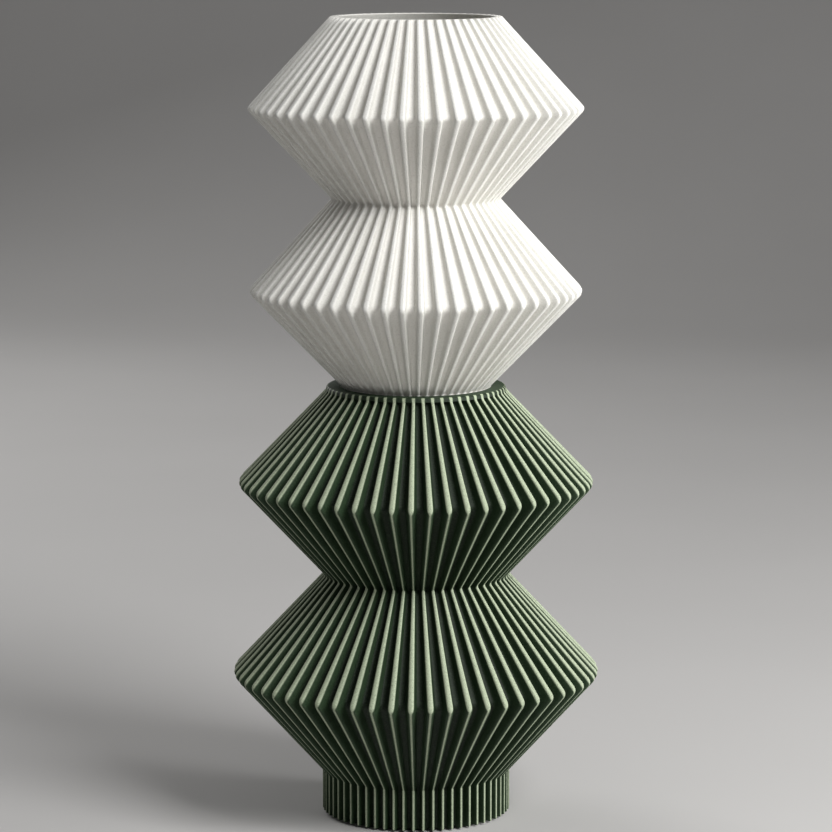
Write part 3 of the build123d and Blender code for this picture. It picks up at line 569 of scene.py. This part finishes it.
# Every node of the frame gets the finish of its own slot.
node_slots = {part["node"]: part["material_slot"] for part in frame["record"]["subparts"]}
for node, piece in frame["nodes"].items():
    finishes[node_slots[node]].dress(piece)


def fit(piece, body, slot, *nodes):
    """Dresses a new piece, hangs it on a body and hides the nodes that it stands for."""
    finishes[slot].dress(piece)
    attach(piece, body)
    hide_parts(*nodes)


# ---------------------------------------------------------------- base shell

# Depth of the ribs, as a share of the outer radius.
BASE_DEPTH = 0.085
FOOT_LOW = 1.0
FOOT_TOP = 24.6
FOOT_OUTER_R = 53.3
FOOT_INNER_R = 46.47
LOWER_EDGE_Z = 81.6
WAIST_Z = 137.4
UPPER_EDGE_Z = 190.0
SLOPE_TOP_R = 52.9
RIB_FADE = 239.7
RIB_TOP = 242.2
RING_TOP = 244.5
SEAT_R = 42.2
SEAT_FLOOR = 240.5
REBATE_R = 36.3
REBATE_FLOOR = 238.5
SHELF_R = 29.0
SHELF_LOW = 234.5

base_outer = rounded(
    [
        (FOOT_INNER_R, FOOT_LOW, 0),
        (FOOT_OUTER_R, FOOT_LOW, 0.6),
        (FOOT_OUTER_R, FOOT_TOP, 1.5),
        (104.45, LOWER_EDGE_Z, 3.5),
        (52.0, WAIST_Z, 1.4),
        (100.9, UPPER_EDGE_Z, 3.5),
        (SLOPE_TOP_R, RIB_FADE, 0),
    ]
)
# From the top of the ring down through the seat, and then down the smooth inner wall.
base_inner = rounded(
    [
        (50.6, RIB_TOP, 0),
        (50.2, RING_TOP, 1.3),
        (SEAT_R, RING_TOP, 0.5),
        (SEAT_R, SEAT_FLOOR, 0.4),
        (REBATE_R, SEAT_FLOOR, 0.3),
        (REBATE_R, REBATE_FLOOR, 0),
        (SHELF_R, REBATE_FLOOR, 0.5),
        (SHELF_R, SHELF_LOW, 0.5),
        (50.8, SHELF_LOW, 0),
        (88.83, UPPER_EDGE_Z, 0),
        (45.83, WAIST_Z, 0),
        (92.13, LOWER_EDGE_Z, 0),
        (FOOT_INNER_R, FOOT_TOP, 0),
        (FOOT_INNER_R, FOOT_LOW, 0),
    ]
)

# The ribs end in round arches on the slope just under the ring.
ARCH_STEPS = 6
ARCH_IN = 2.3
arch_in = ARCH_IN / ARCH_STEPS
arch_up = (RIB_TOP - RIB_FADE) / ARCH_STEPS
arch = [
    (SLOPE_TOP_R - arch_in * step, RIB_FADE + arch_up * step) for step in range(1, ARCH_STEPS + 1)
]
base_rows = [(FOOT_INNER_R, FOOT_LOW, 0)]
base_rows += [(r, z, BASE_DEPTH) for r, z in base_outer[1:]]
base_rows += faded(arch, RIB_FADE, RIB_TOP, BASE_DEPTH)
base_rows += [(r, z, 0) for r, z in base_inner[1:-1]]
base_shell = ribbed_shell("base_body", BASE_RIBS, BASE_CREST, base_rows)

# Service panel at the back of the foot: a flat plate in a square window, with two cut-outs.
SERVICE_Z = 13.4
PANEL_HALF = 22.6
PANEL_THICK = 3.0
OUTSIDE_Y = 60.0
INLET_X = -11.2
INLET_HOLE = (19.0, 11.0)
SWITCH_X = 12.6
SWITCH_HOLE = (13.2, 8.8)
CUT_BEHIND = 16.0
CUT_AHEAD = 1.0
panel = block(
    "panel",
    (-PANEL_HALF, PANEL_FACE - PANEL_THICK, 1.4),
    (PANEL_HALF, PANEL_FACE, 24.0),
    0,
)
combine(base_shell, panel, "UNION")
window = block("window", (-PANEL_HALF, PANEL_FACE, 4.5), (PANEL_HALF, OUTSIDE_Y, 22.3), 0)
combine(base_shell, window, "DIFFERENCE")
for x, (width, height) in ((INLET_X, INLET_HOLE), (SWITCH_X, SWITCH_HOLE)):
    hole = block(
        "hole",
        (x - width / 2, PANEL_FACE - CUT_BEHIND, SERVICE_Z - height / 2),
        (x + width / 2, PANEL_FACE + CUT_AHEAD, SERVICE_Z + height / 2),
        0,
    )
    combine(base_shell, hole, "DIFFERENCE")
fit(base_shell, "base", "base_green", "base_shell")

# ---------------------------------------------------------------- shade

SHADE_DEPTH = 0.06
SHADE_BORE_R = 36.8
SHADE_LOWER_Z = 298.0
SHADE_WAIST_Z = 349.4
SHADE_UPPER_Z = 399.5
SHADE_TOP = 450.0
shade_outline = rounded(
    [
        (SHADE_BORE_R, SEAT_FLOOR, 0),
        (41.3, SEAT_FLOOR, 2.0),
        (42.4, 245.0, 1.0),
        (93.9, SHADE_LOWER_Z, 3.2),
        (46.9, SHADE_WAIST_Z, 1.2),
        (93.9, SHADE_UPPER_Z, 2.2),
        (47.5, SHADE_TOP, 0.4),
        (42.85, SHADE_TOP, 0.4),
        (85.7, SHADE_UPPER_Z, 1.0),
        (42.7, SHADE_WAIST_Z, 1.0),
        (85.4, SHADE_LOWER_Z, 1.0),
        (40.6, 248.0, 1.0),
        (SHADE_BORE_R, 243.0, 0.5),
        (SHADE_BORE_R, SEAT_FLOOR, 0),
    ]
)
INNER_RIM_R = 45.5
PLAIN_TOP = 242.5
FULL_RIBS = 249.0


def shade_depth(z):
    """Depth of the outer ribs at a height: none on the foot, then growing in a round arch."""
    if z < PLAIN_TOP:
        return 0
    if z >= FULL_RIBS:
        return SHADE_DEPTH
    return SHADE_DEPTH * sqrt(1 - ((FULL_RIBS - z) / (FULL_RIBS - PLAIN_TOP)) ** 2)


# The wall is plain from the inner edge of the rim downwards.
inner_rim = next(
    number
    for number, (r, z) in enumerate(shade_outline)
    if near(z * MM, SHADE_TOP) and r < INNER_RIM_R
)
shade_rows = [(r, z, shade_depth(z)) for r, z in shade_outline[:inner_rim]]
shade_rows += [(r, z, 0) for r, z in shade_outline[inner_rim:-1]]
shade = ribbed_shell("shade_body", SHADE_RIBS, SHADE_CREST, shade_rows)
fit(shade, "shade", "shade_white", "shade_lower_tier", "shade_upper_tier")

# ---------------------------------------------------------------- bulb

DOME_MIDDLE = 343.2
DOME_R = 30.0
DOME_FOOT_Z = 330.0
DOME_WALL = 1.2
foot_turn = -asin((DOME_MIDDLE - DOME_FOOT_Z) / DOME_R)
DOME_STEPS = 24


def dome_line(radius, start, steps):
    """Points of a dome's section, from its foot to just beside its crown."""
    turns = [start + (pi / 2 - start) * step / steps for step in range(steps)]
    return [(radius * cos(turn), DOME_MIDDLE + radius * sin(turn), 0) for turn in turns]


inner_turn = -asin((DOME_MIDDLE - DOME_FOOT_Z) / (DOME_R - DOME_WALL))
dome = lathe(
    "bulb_globe",
    [(0, DOME_MIDDLE + DOME_R - DOME_WALL, 0)]
    + dome_line(DOME_R - DOME_WALL, inner_turn, DOME_STEPS)[::-1]
    + dome_line(DOME_R, foot_turn, DOME_STEPS)
    + [(0, DOME_MIDDLE + DOME_R, 0)],
    turns=72,
)
fit(dome, "bulb", "bulb_opal", "bulb_dome")

# Housing of the bulb: a collar over the thread, then a fluted flare up to the dome.
dome_foot_r = DOME_R * cos(foot_turn)
HOUSING_FLUTES = 32
COLLAR_LOW = 289.2
COLLAR_R = 14.4
COLLAR_BORE_R = 11.9
FLUTE_LOW_R = 15.6
FLUTE_LOW_Z = 295.0
FLUTE_HIGH_Z = 327.6
flare = (dome_foot_r - FLUTE_LOW_R) / (FLUTE_HIGH_Z - FLUTE_LOW_Z)
# Depth of the flutes at each height, as a share of the radius.
FLUTES = {297.0: 0.0, 298.0: 0.03, 300.0: 0.05, 312.0: 0.05, 323.0: 0.05, 325.0: 0.03, 326.0: 0.0}
below = rounded(
    [
        (COLLAR_BORE_R, COLLAR_LOW, 0),
        (COLLAR_R, COLLAR_LOW, 0.5),
        (COLLAR_R, 291.4, 0.4),
        (COLLAR_R - 0.5, 291.8, 0.2),
        (FLUTE_LOW_R, FLUTE_LOW_Z, 0),
    ]
)
above = rounded(
    [
        (dome_foot_r, FLUTE_HIGH_Z, 0),
        (dome_foot_r, DOME_FOOT_Z, 0.3),
        (dome_foot_r - 2.4, DOME_FOOT_Z, 0),
        (dome_foot_r - 2.4, 328.5, 0),
        (13.2, 293.2, 0),
        (COLLAR_BORE_R, 291.2, 0),
    ]
)
housing_rows = [(r, z, 0) for r, z in below]
for z, depth in FLUTES.items():
    housing_rows.append((FLUTE_LOW_R + flare * (z - FLUTE_LOW_Z), z, depth))
housing_rows += [(r, z, 0) for r, z in above]
housing = ribbed_shell("bulb_body", HOUSING_FLUTES, 0, housing_rows)
fit(housing, "bulb", "bulb_white", "bulb_housing")

# Screw thread of the bulb: one turn of the thread's section, wound up by a screw.
THREAD_PITCH = 3.63
THREAD_CREST_R = 13.1
THREAD_ROOT_R = 12.35
THREAD_LOW = 268.2
THREAD_HIGH = 289.1
THREAD_START = 264.0
THREAD_TURNS = 7
THREAD_SHEET = 0.3
THREAD_STEPS = 8
thread_section = []
for step in range(THREAD_STEPS + 1):
    swell = (1 - cos(2 * pi * step / THREAD_STEPS)) / 2
    r = THREAD_ROOT_R + (THREAD_CREST_R - THREAD_ROOT_R) * swell
    thread_section.append((r, 0, THREAD_START + THREAD_PITCH * step / THREAD_STEPS))
thread = draw_line("bulb_thread", thread_section)
bpy.ops.object.mode_set(mode="OBJECT")
wind = thread.modifiers.new("wind", "SCREW")
wind.angle = 2 * pi
wind.screw_offset = THREAD_PITCH * MM
wind.iterations = THREAD_TURNS
wind.steps = 64
wind.render_steps = 64
wind.use_merge_vertices = True
apply_modifiers(thread)
take(thread)
bpy.ops.object.mode_set(mode="EDIT")
bpy.ops.mesh.select_all(action="SELECT")
bpy.ops.mesh.remove_doubles(threshold=MERGE * MM)
bpy.ops.mesh.bisect(plane_co=(0, 0, THREAD_LOW * MM), plane_no=(0, 0, 1), clear_inner=True)
bpy.ops.mesh.select_all(action="SELECT")
bpy.ops.mesh.bisect(plane_co=(0, 0, THREAD_HIGH * MM), plane_no=(0, 0, 1), clear_outer=True)
bpy.ops.mesh.select_all(action="SELECT")
bpy.ops.mesh.normals_make_consistent(inside=False)
bpy.ops.object.mode_set(mode="OBJECT")
sheet = thread.modifiers.new("sheet", "SOLIDIFY")
sheet.thickness = THREAD_SHEET * MM
sheet.offset = -1
apply_modifiers(thread)
finish_mesh(thread, 50)
fit(thread, "bulb", "thread_aluminium", "bulb_screw_shell")

# ---------------------------------------------------------------- lampholder

HOLDER_R = 19.7
HOLDER_LOW = 240.3
HOLDER_BORE_R = 5.0
CAP_HIGH = 263.9
CAP_RIBS = 36
CAP_GRIP = {253.5: 0, 254.3: 0.035, 255.0: 0.045, 261.0: 0.045, 261.7: 0.035, 262.5: 0}
SKIRT_LOW = 264.1
SKIRT_HIGH = 288.5
SKIRT_RIBS = 30
SKIRT_GRIP = {266.0: 0, 267.0: 0.04, 268.0: 0.055, 283.5: 0.055, 284.5: 0.04, 285.5: 0}


def with_grip(outline, grip):
    """Rows of a plain outline, with a band of grip ribs let into its outer wall. grip is the depth of
    the ribs at each height, from the bottom up."""
    rows = [(r, z, 0) for r, z in outline]
    after = next(number for number, row in enumerate(rows) if row[1] > max(grip))
    band = [(HOLDER_R, z, depth) for z, depth in grip.items()]
    return rows[:after] + band + rows[after:]


cap_outline = rounded(
    [
        (HOLDER_BORE_R, HOLDER_LOW, 0),
        (11.0, HOLDER_LOW, 0.5),
        (11.0, 242.3, 0.3),
        (17.7, 250.0, 1.5),
        (HOLDER_R, 252.0, 1.0),
        (HOLDER_R, CAP_HIGH, 0.4),
        (17.7, CAP_HIGH, 0),
        (17.7, 252.0, 0.5),
        (9.0, 246.1, 0.5),
        (HOLDER_BORE_R, 246.1, 0),
    ]
)
cap = ribbed_shell("holder_cap", CAP_RIBS, 0, with_grip(cap_outline, CAP_GRIP))
fit(cap, "base", "holder_white", "lampholder_cap")

skirt_outline = rounded(
    [
        (17.4, SKIRT_LOW, 0),
        (HOLDER_R, SKIRT_LOW, 0.4),
        (HOLDER_R, 287.0, 0.6),
        (18.2, SKIRT_HIGH, 0.6),
        (13.7, SKIRT_HIGH, 0.5),
        (13.7, 287.9, 0),
        (14.3, 287.9, 0),
        (14.3, 266.5, 0),
        (17.4, 266.5, 0),
    ]
)
skirt = ribbed_shell("holder_skirt", SKIRT_RIBS, 0, with_grip(skirt_outline, SKIRT_GRIP))
fit(skirt, "base", "holder_white", "lampholder_skirt")

# ---------------------------------------------------------------- foot of the bulb

INSULATOR_R = 12.7
INSULATOR_HIGH = 270.0
TIP_R = 4.4
TIP_LOW = 264.6
TIP_HIGH = 265.65
insulator = lathe(
    "bulb_foot",
    [
        (0, INSULATOR_HIGH, 0),
        (INSULATOR_R, INSULATOR_HIGH, 0),
        (INSULATOR_R, 268.4, 0.6),
        (9.4, 267.2, 0.6),
        (7.2, 266.2, 0.8),
        (4.5, 265.7, 0.2),
        (0, 265.7, 0),
    ],
    turns=64,
)
fit(insulator, "bulb", "bulb_black", "bulb_insulator")
tip = lathe(
    "bulb_tip",
    [
        (0, TIP_HIGH, 0),
        (TIP_R, TIP_HIGH, 0.1),
        (TIP_R, 265.3, 0.3),
        (2.6, TIP_LOW, 1.2),
        (0, TIP_LOW, 0),
    ],
    turns=48,
)
fit(tip, "bulb_rise_carrier", "contact_brass", "bulb_tip_contact")

# ---------------------------------------------------------------- deck and bottom cover

DECK_LOW = 238.5
DECK_HIGH = 240.3
DECK_R = 36.0
DECK_HOLE_R = 5.2
GROOVE = 0.6
BLANKING = 0.3
# A shallow ring groove stiffens the plate, and the holder sits in a shallow disc.
deck = lathe(
    "deck",
    [
        (DECK_HOLE_R, DECK_LOW, 0.2),
        (DECK_R, DECK_LOW, 0.3),
        (DECK_R, DECK_HIGH, 0.4),
        (29.5, DECK_HIGH, 0.3),
        (28.9, DECK_HIGH - GROOVE, 0.3),
        (25.6, DECK_HIGH - GROOVE, 0.3),
        (25.0, DECK_HIGH, 0.3),
        (12.6, DECK_HIGH, 0.2),
        (12.2, DECK_HIGH - BLANKING, 0.1),
        (DECK_HOLE_R, DECK_HIGH - BLANKING, 0),
        (DECK_HOLE_R, DECK_LOW + BLANKING, 0),
    ],
    turns=120,
)
fit(deck, "base", "deck_steel", "deck_plate")

COVER_LOW = 3.0
COVER_HIGH = 6.0
COVER_R = 46.17
COVER_FLAT_Y = 43.7
COVER_GROOVE = 0.5
FEET = 4
FOOT_R = 6.0
FOOT_CIRCLE_R = 32.0
FOOT_SEAT = 3.6
cover = lathe(
    "cover",
    [
        (0, COVER_HIGH, 0),
        (COVER_R, COVER_HIGH, 0.4),
        (COVER_R, COVER_LOW, 0.7),
        (24.0, COVER_LOW, 0.2),
        (23.6, COVER_LOW + COVER_GROOVE, 0.2),
        (20.4, COVER_LOW + COVER_GROOVE, 0.2),
        (20.0, COVER_LOW, 0.2),
        (0, COVER_LOW, 0),
    ],
    turns=144,
)


def on_circle(radius, number, count, start=0.0):
    """One of a count of places spaced evenly round a circle about the axis, in millimetres."""
    turn = start + 2 * pi * number / count
    return radius * cos(turn), radius * sin(turn)


for number in range(FEET):
    x, y = on_circle(FOOT_CIRCLE_R, number, FEET)
    seat = lathe(
        "seat",
        [(0, FOOT_SEAT, 0), (FOOT_R, FOOT_SEAT, 0), (FOOT_R, COVER_LOW - 1, 0), (0, COVER_LOW - 1, 0)],
        turns=40,
    )
    seat.location = (x * MM, y * MM, 0)
    combine(cover, settle(seat), "DIFFERENCE")
beyond = block(
    "beyond",
    (-OUTSIDE_Y, COVER_FLAT_Y, COVER_LOW - 1),
    (OUTSIDE_Y, OUTSIDE_Y, COVER_HIGH + 1),
    0,
)
combine(cover, beyond, "DIFFERENCE")
finish_mesh(cover)
fit(cover, "base", "cover_black", "bottom_cover")

# ---------------------------------------------------------------- screws and feet

M3_R = 1.5
M3_HEAD_R = 2.75
M4_R = 2.0
M4_HEAD_R = 3.5
HEAD_HEIGHT = 1.8
SOCKET_DEPTH = 0.9


def socket_screw(x, y, head_z, up, shank, head_r=M3_HEAD_R, shank_r=M3_R):
    """A round-headed screw with a hexagonal socket. up is 1 for a head on top, -1 for one below."""
    section = [
        (0, HEAD_HEIGHT, 0),
        (head_r - 0.1, HEAD_HEIGHT, 0.7),
        (head_r, 0, 0.1),
        (shank_r, 0, 0.2),
        (shank_r, -shank, 0.3),
        (0, -shank, 0),
    ]
    screw = lathe("screw", section, turns=24, blend_steps=3)
    clear_selection()
    bpy.ops.mesh.primitive_cylinder_add(
        vertices=6,
        radius=shank_r * MM,
        depth=3 * MM,
        location=(0, 0, (HEAD_HEIGHT - SOCKET_DEPTH + 1.5) * MM),
    )
    combine(screw, named("socket"), "DIFFERENCE")
    screw.scale = (1, 1, up)
    screw.location = (x * MM, y * MM, head_z * MM)
    return finish_mesh(settle(screw))


DECK_SCREWS = 3
DECK_SCREW_CIRCLE_R = 32.5
deck_screws = [
    socket_screw(*on_circle(DECK_SCREW_CIRCLE_R, number, DECK_SCREWS), DECK_HIGH, 1, 5.8)
    for number in range(DECK_SCREWS)
]
fit(joined("deck_fixings", deck_screws), "base", "screw_steel", "deck_screws")

COVER_SCREWS = 4
COVER_SCREW_CIRCLE_R = 43.0
cover_screws = [
    socket_screw(*on_circle(COVER_SCREW_CIRCLE_R, number, COVER_SCREWS, pi / 4), COVER_LOW, -1, 7.8)
    for number in range(COVER_SCREWS)
]
fit(joined("cover_fixings", cover_screws), "base", "screw_steel", "cover_screws")

BALLAST_SCREW_X = 15.0
BALLAST_Y = -6.0
ballast_screws = [
    socket_screw(x, BALLAST_Y, COVER_LOW, -1, 15.0, M4_HEAD_R, M4_R)
    for x in (-BALLAST_SCREW_X, BALLAST_SCREW_X)
]
fit(joined("ballast_fixings", ballast_screws), "base", "screw_steel", "ballast_screws")

# Each foot is a turned pad with a hollow in its underside.
FOOT_HIGH = 3.55
FOOT_HOLLOW = 0.4
feet = []
for number in range(FEET):
    foot = lathe(
        "foot",
        [
            (0, FOOT_HOLLOW, 0),
            (3.2, FOOT_HOLLOW, 0.2),
            (3.5, 0.0, 0.1),
            (5.6, 0.0, 0.4),
            (FOOT_R, 1.2, 0.4),
            (FOOT_R, FOOT_HIGH, 0.1),
            (0, FOOT_HIGH, 0),
        ],
        turns=40,
        middle=on_circle(FOOT_CIRCLE_R, number, FEET),
    )
    feet.append(foot)
fit(joined("foot_pads", feet), "base", "foot_rubber", "rubber_feet")

# ---------------------------------------------------------------- inlet and switch


def upright_rod(name, place, radius, length):
    """A plain upright rod with its middle at a place in millimetres."""
    clear_selection()
    bpy.ops.mesh.primitive_cylinder_add(
        vertices=48,
        radius=radius * MM,
        depth=length * MM,
        location=[distance * MM for distance in place],
    )
    return settle(named(name))


def slab(name, outline, low, high):
    """A flat closed outline of (x, y) points in millimetres, filled and pushed up from low to high."""
    points = [(x, y, low) for x, y in outline]
    piece = draw_line(name, points + points[:1])
    bpy.ops.mesh.select_all(action="SELECT")
    bpy.ops.mesh.remove_doubles(threshold=MERGE * MM)
    bpy.ops.mesh.edge_face_add()
    bpy.ops.mesh.extrude_region_move(TRANSFORM_OT_translate={"value": (0, 0, (high - low) * MM)})
    bpy.ops.mesh.select_all(action="SELECT")
    bpy.ops.mesh.normals_make_consistent(inside=False)
    return piece


def service_block(name, x, size, y_low, y_high, bevel):
    """A block behind or on the service panel: size is its width and its height about the centre."""
    width, height = size
    return block(
        name,
        (x - width / 2, y_low, SERVICE_Z - height / 2),
        (x + width / 2, y_high, SERVICE_Z + height / 2),
        bevel,
    )


# How far a body reaches into its own flange, so that the two join well inside it.
INTO_FLANGE = 1.0
FLANGE_BEVEL = 0.6
SERVICE_ANGLE = 30
INLET_FACE = PANEL_FACE + 1.6
INLET_BACK = 31.0
inlet = service_block("inlet", INLET_X, (22.0, 14.0), PANEL_FACE, INLET_FACE, FLANGE_BEVEL)
inlet_back = service_block(
    "inlet_back", INLET_X, (18.8, 10.8), INLET_BACK, PANEL_FACE + INTO_FLANGE, 0.5
)
combine(inlet, inlet_back, "UNION")

# Socket: two round lobes joined by a narrower waist.
LOBE_R = 3.9
LOBE_X = 4.0
WAIST_HALF = 3.2
LOBE_STEPS = 12
SOCKET_FLOOR_Y = 35.1
SOCKET_MOUTH_Y = 48.9
lobe_turn = pi - asin(WAIST_HALF / LOBE_R)
figure = []
for side in (1, -1):
    for step in range(2 * LOBE_STEPS + 1):
        turn = side * lobe_turn * (1 - step / LOBE_STEPS)
        figure.append((side * (LOBE_X + LOBE_R * cos(turn)), LOBE_R * sin(turn)))
well = slab("well", figure, SOCKET_FLOOR_Y - SOCKET_MOUTH_Y, 0)
bpy.ops.object.mode_set(mode="OBJECT")
well.rotation_euler = (-pi / 2, 0, 0)
well.location = (INLET_X * MM, SOCKET_MOUTH_Y * MM, SERVICE_Z * MM)
settle(well)
combine(inlet, well, "DIFFERENCE")
finish_mesh(inlet, SERVICE_ANGLE)
fit(inlet, "base", "inlet_black", "inlet_body")

SWITCH_FACE = PANEL_FACE + 1.8
HINGE_Y = 46.6
HINGE_R = 0.9
switch = service_block("switch", SWITCH_X, (15.0, 10.6), PANEL_FACE, SWITCH_FACE, FLANGE_BEVEL)
switch_back = service_block(
    "switch_back", SWITCH_X, (13.0, 8.6), 33.0, PANEL_FACE + INTO_FLANGE, 0.4
)
combine(switch, switch_back, "UNION")
well = service_block("well", SWITCH_X, (12.0, 7.2), SWITCH_FACE - 7.0, SWITCH_FACE + 0.7, 0)
combine(switch, well, "DIFFERENCE")
hinge = upright_rod("hinge", (SWITCH_X, HINGE_Y, SERVICE_Z), HINGE_R + 0.05, 8.0)
combine(switch, hinge, "DIFFERENCE")
finish_mesh(switch, SERVICE_ANGLE)
fit(switch, "base", "inlet_black", "switch_body")

PIN_R = 1.18
PIN_X = 4.3
PIN_LENGTH = 15.1
pins = []
for x in (INLET_X - PIN_X, INLET_X + PIN_X):
    pin = lathe(
        "pin", [(0, PIN_LENGTH, 0), (PIN_R, PIN_LENGTH, 0.9), (PIN_R, 0, 0), (0, 0, 0)], turns=24
    )
    pin.rotation_euler = (-pi / 2, 0, 0)
    pin.location = (x * MM, INLET_BACK * MM, SERVICE_Z * MM)
    pins.append(settle(pin))
fit(joined("plug_pins", pins), "base", "pin_brass", "inlet_pins")

# Rocker: a bar with round ends about its hinge and a shallow V across its face. Its section is drawn
# flat, pushed up to the rocker's width, and then tilted into the off position.
ROCKER_R = 5.7
ROCKER_FACE = 3.0
ROCKER_BACK = -3.4
ROCKER_HALF = 3.3
ROCKER_LEAN = radians(10)
STUB_LENGTH = 7.9
dip = ROCKER_R * sin(ROCKER_LEAN)


def round_end(side, low, high, steps=8):
    """Points round one end of the rocker, from a low to a high level."""
    first, last = asin(low / ROCKER_R), asin(high / ROCKER_R)
    turns = [first + (last - first) * step / steps for step in range(steps + 1)]
    return [(side * ROCKER_R * cos(turn), ROCKER_R * sin(turn)) for turn in turns]


end_low = ROCKER_BACK + dip * 0.9
end_high = ROCKER_FACE - 0.16
right_end = round_end(1, end_low, end_high)
left_end = round_end(-1, end_low, end_high)[::-1]
section = [(0, ROCKER_BACK)] + right_end + [(0, ROCKER_FACE - dip)] + left_end
rocker = slab("rocker", section, -ROCKER_HALF, ROCKER_HALF)
pick(lambda edge: abs(edge.verts[0].co.z - edge.verts[1].co.z) < MM / 10, "EDGE")
bpy.ops.mesh.bevel(offset=0.3 * MM, segments=3, affect="EDGES")
bpy.ops.object.mode_set(mode="OBJECT")

# Raised marks on the two halves of the face: a ring for off and a bar for on.
MARK_LOW = -0.5
MARK_HIGH = 0.15
MARK_EDGE = 0.06
RING_R = 1.2
RING_BORE_R = 0.75
BAR_HALF = (1.3, 0.2)
ring = lathe(
    "mark",
    [
        (RING_BORE_R, MARK_LOW, 0),
        (RING_R, MARK_LOW, 0),
        (RING_R, MARK_HIGH, MARK_EDGE),
        (RING_BORE_R, MARK_HIGH, MARK_EDGE),
    ],
    turns=32,
)
bar = block(
    "mark", (-BAR_HALF[0], -BAR_HALF[1], MARK_LOW), (BAR_HALF[0], BAR_HALF[1], MARK_HIGH), MARK_EDGE
)
for side, mark in ((-1, ring), (1, bar)):
    mark.rotation_euler = (-pi / 2, 0, 0)
    settle(mark)
    mark.rotation_euler = (0, 0, side * ROCKER_LEAN)
    mark.location = (side * ROCKER_R / 2 * MM, (ROCKER_FACE - dip / 2) * MM, 0)
    combine(rocker, settle(mark), "UNION")
combine(rocker, upright_rod("stub", (0, 0, 0), HINGE_R, STUB_LENGTH), "UNION")
rocker.rotation_euler = (0, 0, -ROCKER_LEAN)
rocker.location = (SWITCH_X * MM, HINGE_Y * MM, SERVICE_Z * MM)
settle(rocker)
finish_mesh(rocker, SERVICE_ANGLE)
fit(rocker, "rocker", "rocker_black", "switch_rocker")

# ---------------------------------------------------------------- camera, floor and light

CAMERA_TURN = radians(-88.4)
CAMERA_DISTANCE = 1.887
CAMERA_HEIGHT = 0.529
CAMERA_DIP = radians(9.10)
SENSOR = 36.0
LENS = 147.2

clear_selection()
bpy.ops.object.camera_add(
    location=(
        CAMERA_DISTANCE * cos(CAMERA_TURN),
        CAMERA_DISTANCE * sin(CAMERA_TURN),
        CAMERA_HEIGHT,
    ),
    rotation=(pi / 2 - CAMERA_DIP, 0, CAMERA_TURN + pi / 2),
)
camera = named("camera")
camera.data.sensor_width = SENSOR
camera.data.lens = LENS
bpy.context.scene.camera = camera

# Floor and back wall in one sweep, in metres.
FLOOR_SIZE = 10.0
FLOOR_MIDDLE_Y = -1.5
WALL_HEIGHT = 5.0
SWEEP = 1.5


def at_wall(vertex):
    """Whether a point of the floor is on its far edge."""
    return vertex.co.y > FLOOR_MIDDLE_Y + FLOOR_SIZE / 2 - 0.5


clear_selection()
bpy.ops.mesh.primitive_plane_add(size=FLOOR_SIZE, location=(0, FLOOR_MIDDLE_Y, 0))
floor = settle(named("floor"))
bpy.ops.object.mode_set(mode="EDIT")
pick(lambda edge: all(at_wall(vertex) for vertex in edge.verts), "EDGE")
bpy.ops.mesh.extrude_region_move(TRANSFORM_OT_translate={"value": (0, 0, WALL_HEIGHT)})
pick(lambda edge: all(at_wall(vertex) and vertex.co.z < 1 for vertex in edge.verts), "EDGE")
bpy.ops.mesh.bevel(offset=SWEEP, segments=24, affect="EDGES")
bpy.ops.object.mode_set(mode="OBJECT")
bpy.ops.object.shade_smooth_by_angle(angle=radians(SMOOTH_ANGLE))

paper = Finish("floor_paper", Roughness=0.8)
paper.feed(
    "Base Color",
    paper.mix(paper.noise(300, 2.0), colour(0.50, 0.49, 0.48), colour(0.54, 0.53, 0.52)),
)
paper.dress(floor)


LAMP_MIDDLE = 0.25


def soft_light(name, place, size, power):
    """A square area light, turned towards the middle of the lamp."""
    clear_selection()
    bpy.ops.object.light_add(type="AREA", location=place)
    light = named(name)
    light.data.size = size
    light.data.energy = power
    aim = Vector((0, 0, LAMP_MIDDLE)) - light.location
    light.rotation_euler = aim.to_track_quat("-Z", "Y").to_euler()


def around(turn, rise, distance):
    """A place round the lamp: turn in degrees from the right towards the back, rise above level."""
    flat = distance * cos(radians(rise))
    return (
        flat * cos(radians(turn)),
        flat * sin(radians(turn)),
        LAMP_MIDDLE + distance * sin(radians(rise)),
    )


soft_light("key_light", around(turn=-42, rise=37, distance=1.8), size=0.9, power=35)
soft_light("side_light", around(turn=-4, rise=6, distance=1.6), size=0.35, power=15)
soft_light("back_light", around(turn=125, rise=30, distance=2.2), size=1.2, power=16)

bpy.context.scene.world = bpy.data.worlds.new("studio")
bpy.context.scene.world.use_nodes = True
air = bpy.context.scene.world.node_tree.nodes["Background"]
air.inputs["Color"].default_value = (0.8, 0.8, 0.8, 1)
air.inputs["Strength"].default_value = 0.15
bpy.context.scene.view_settings.view_transform = "Standard"
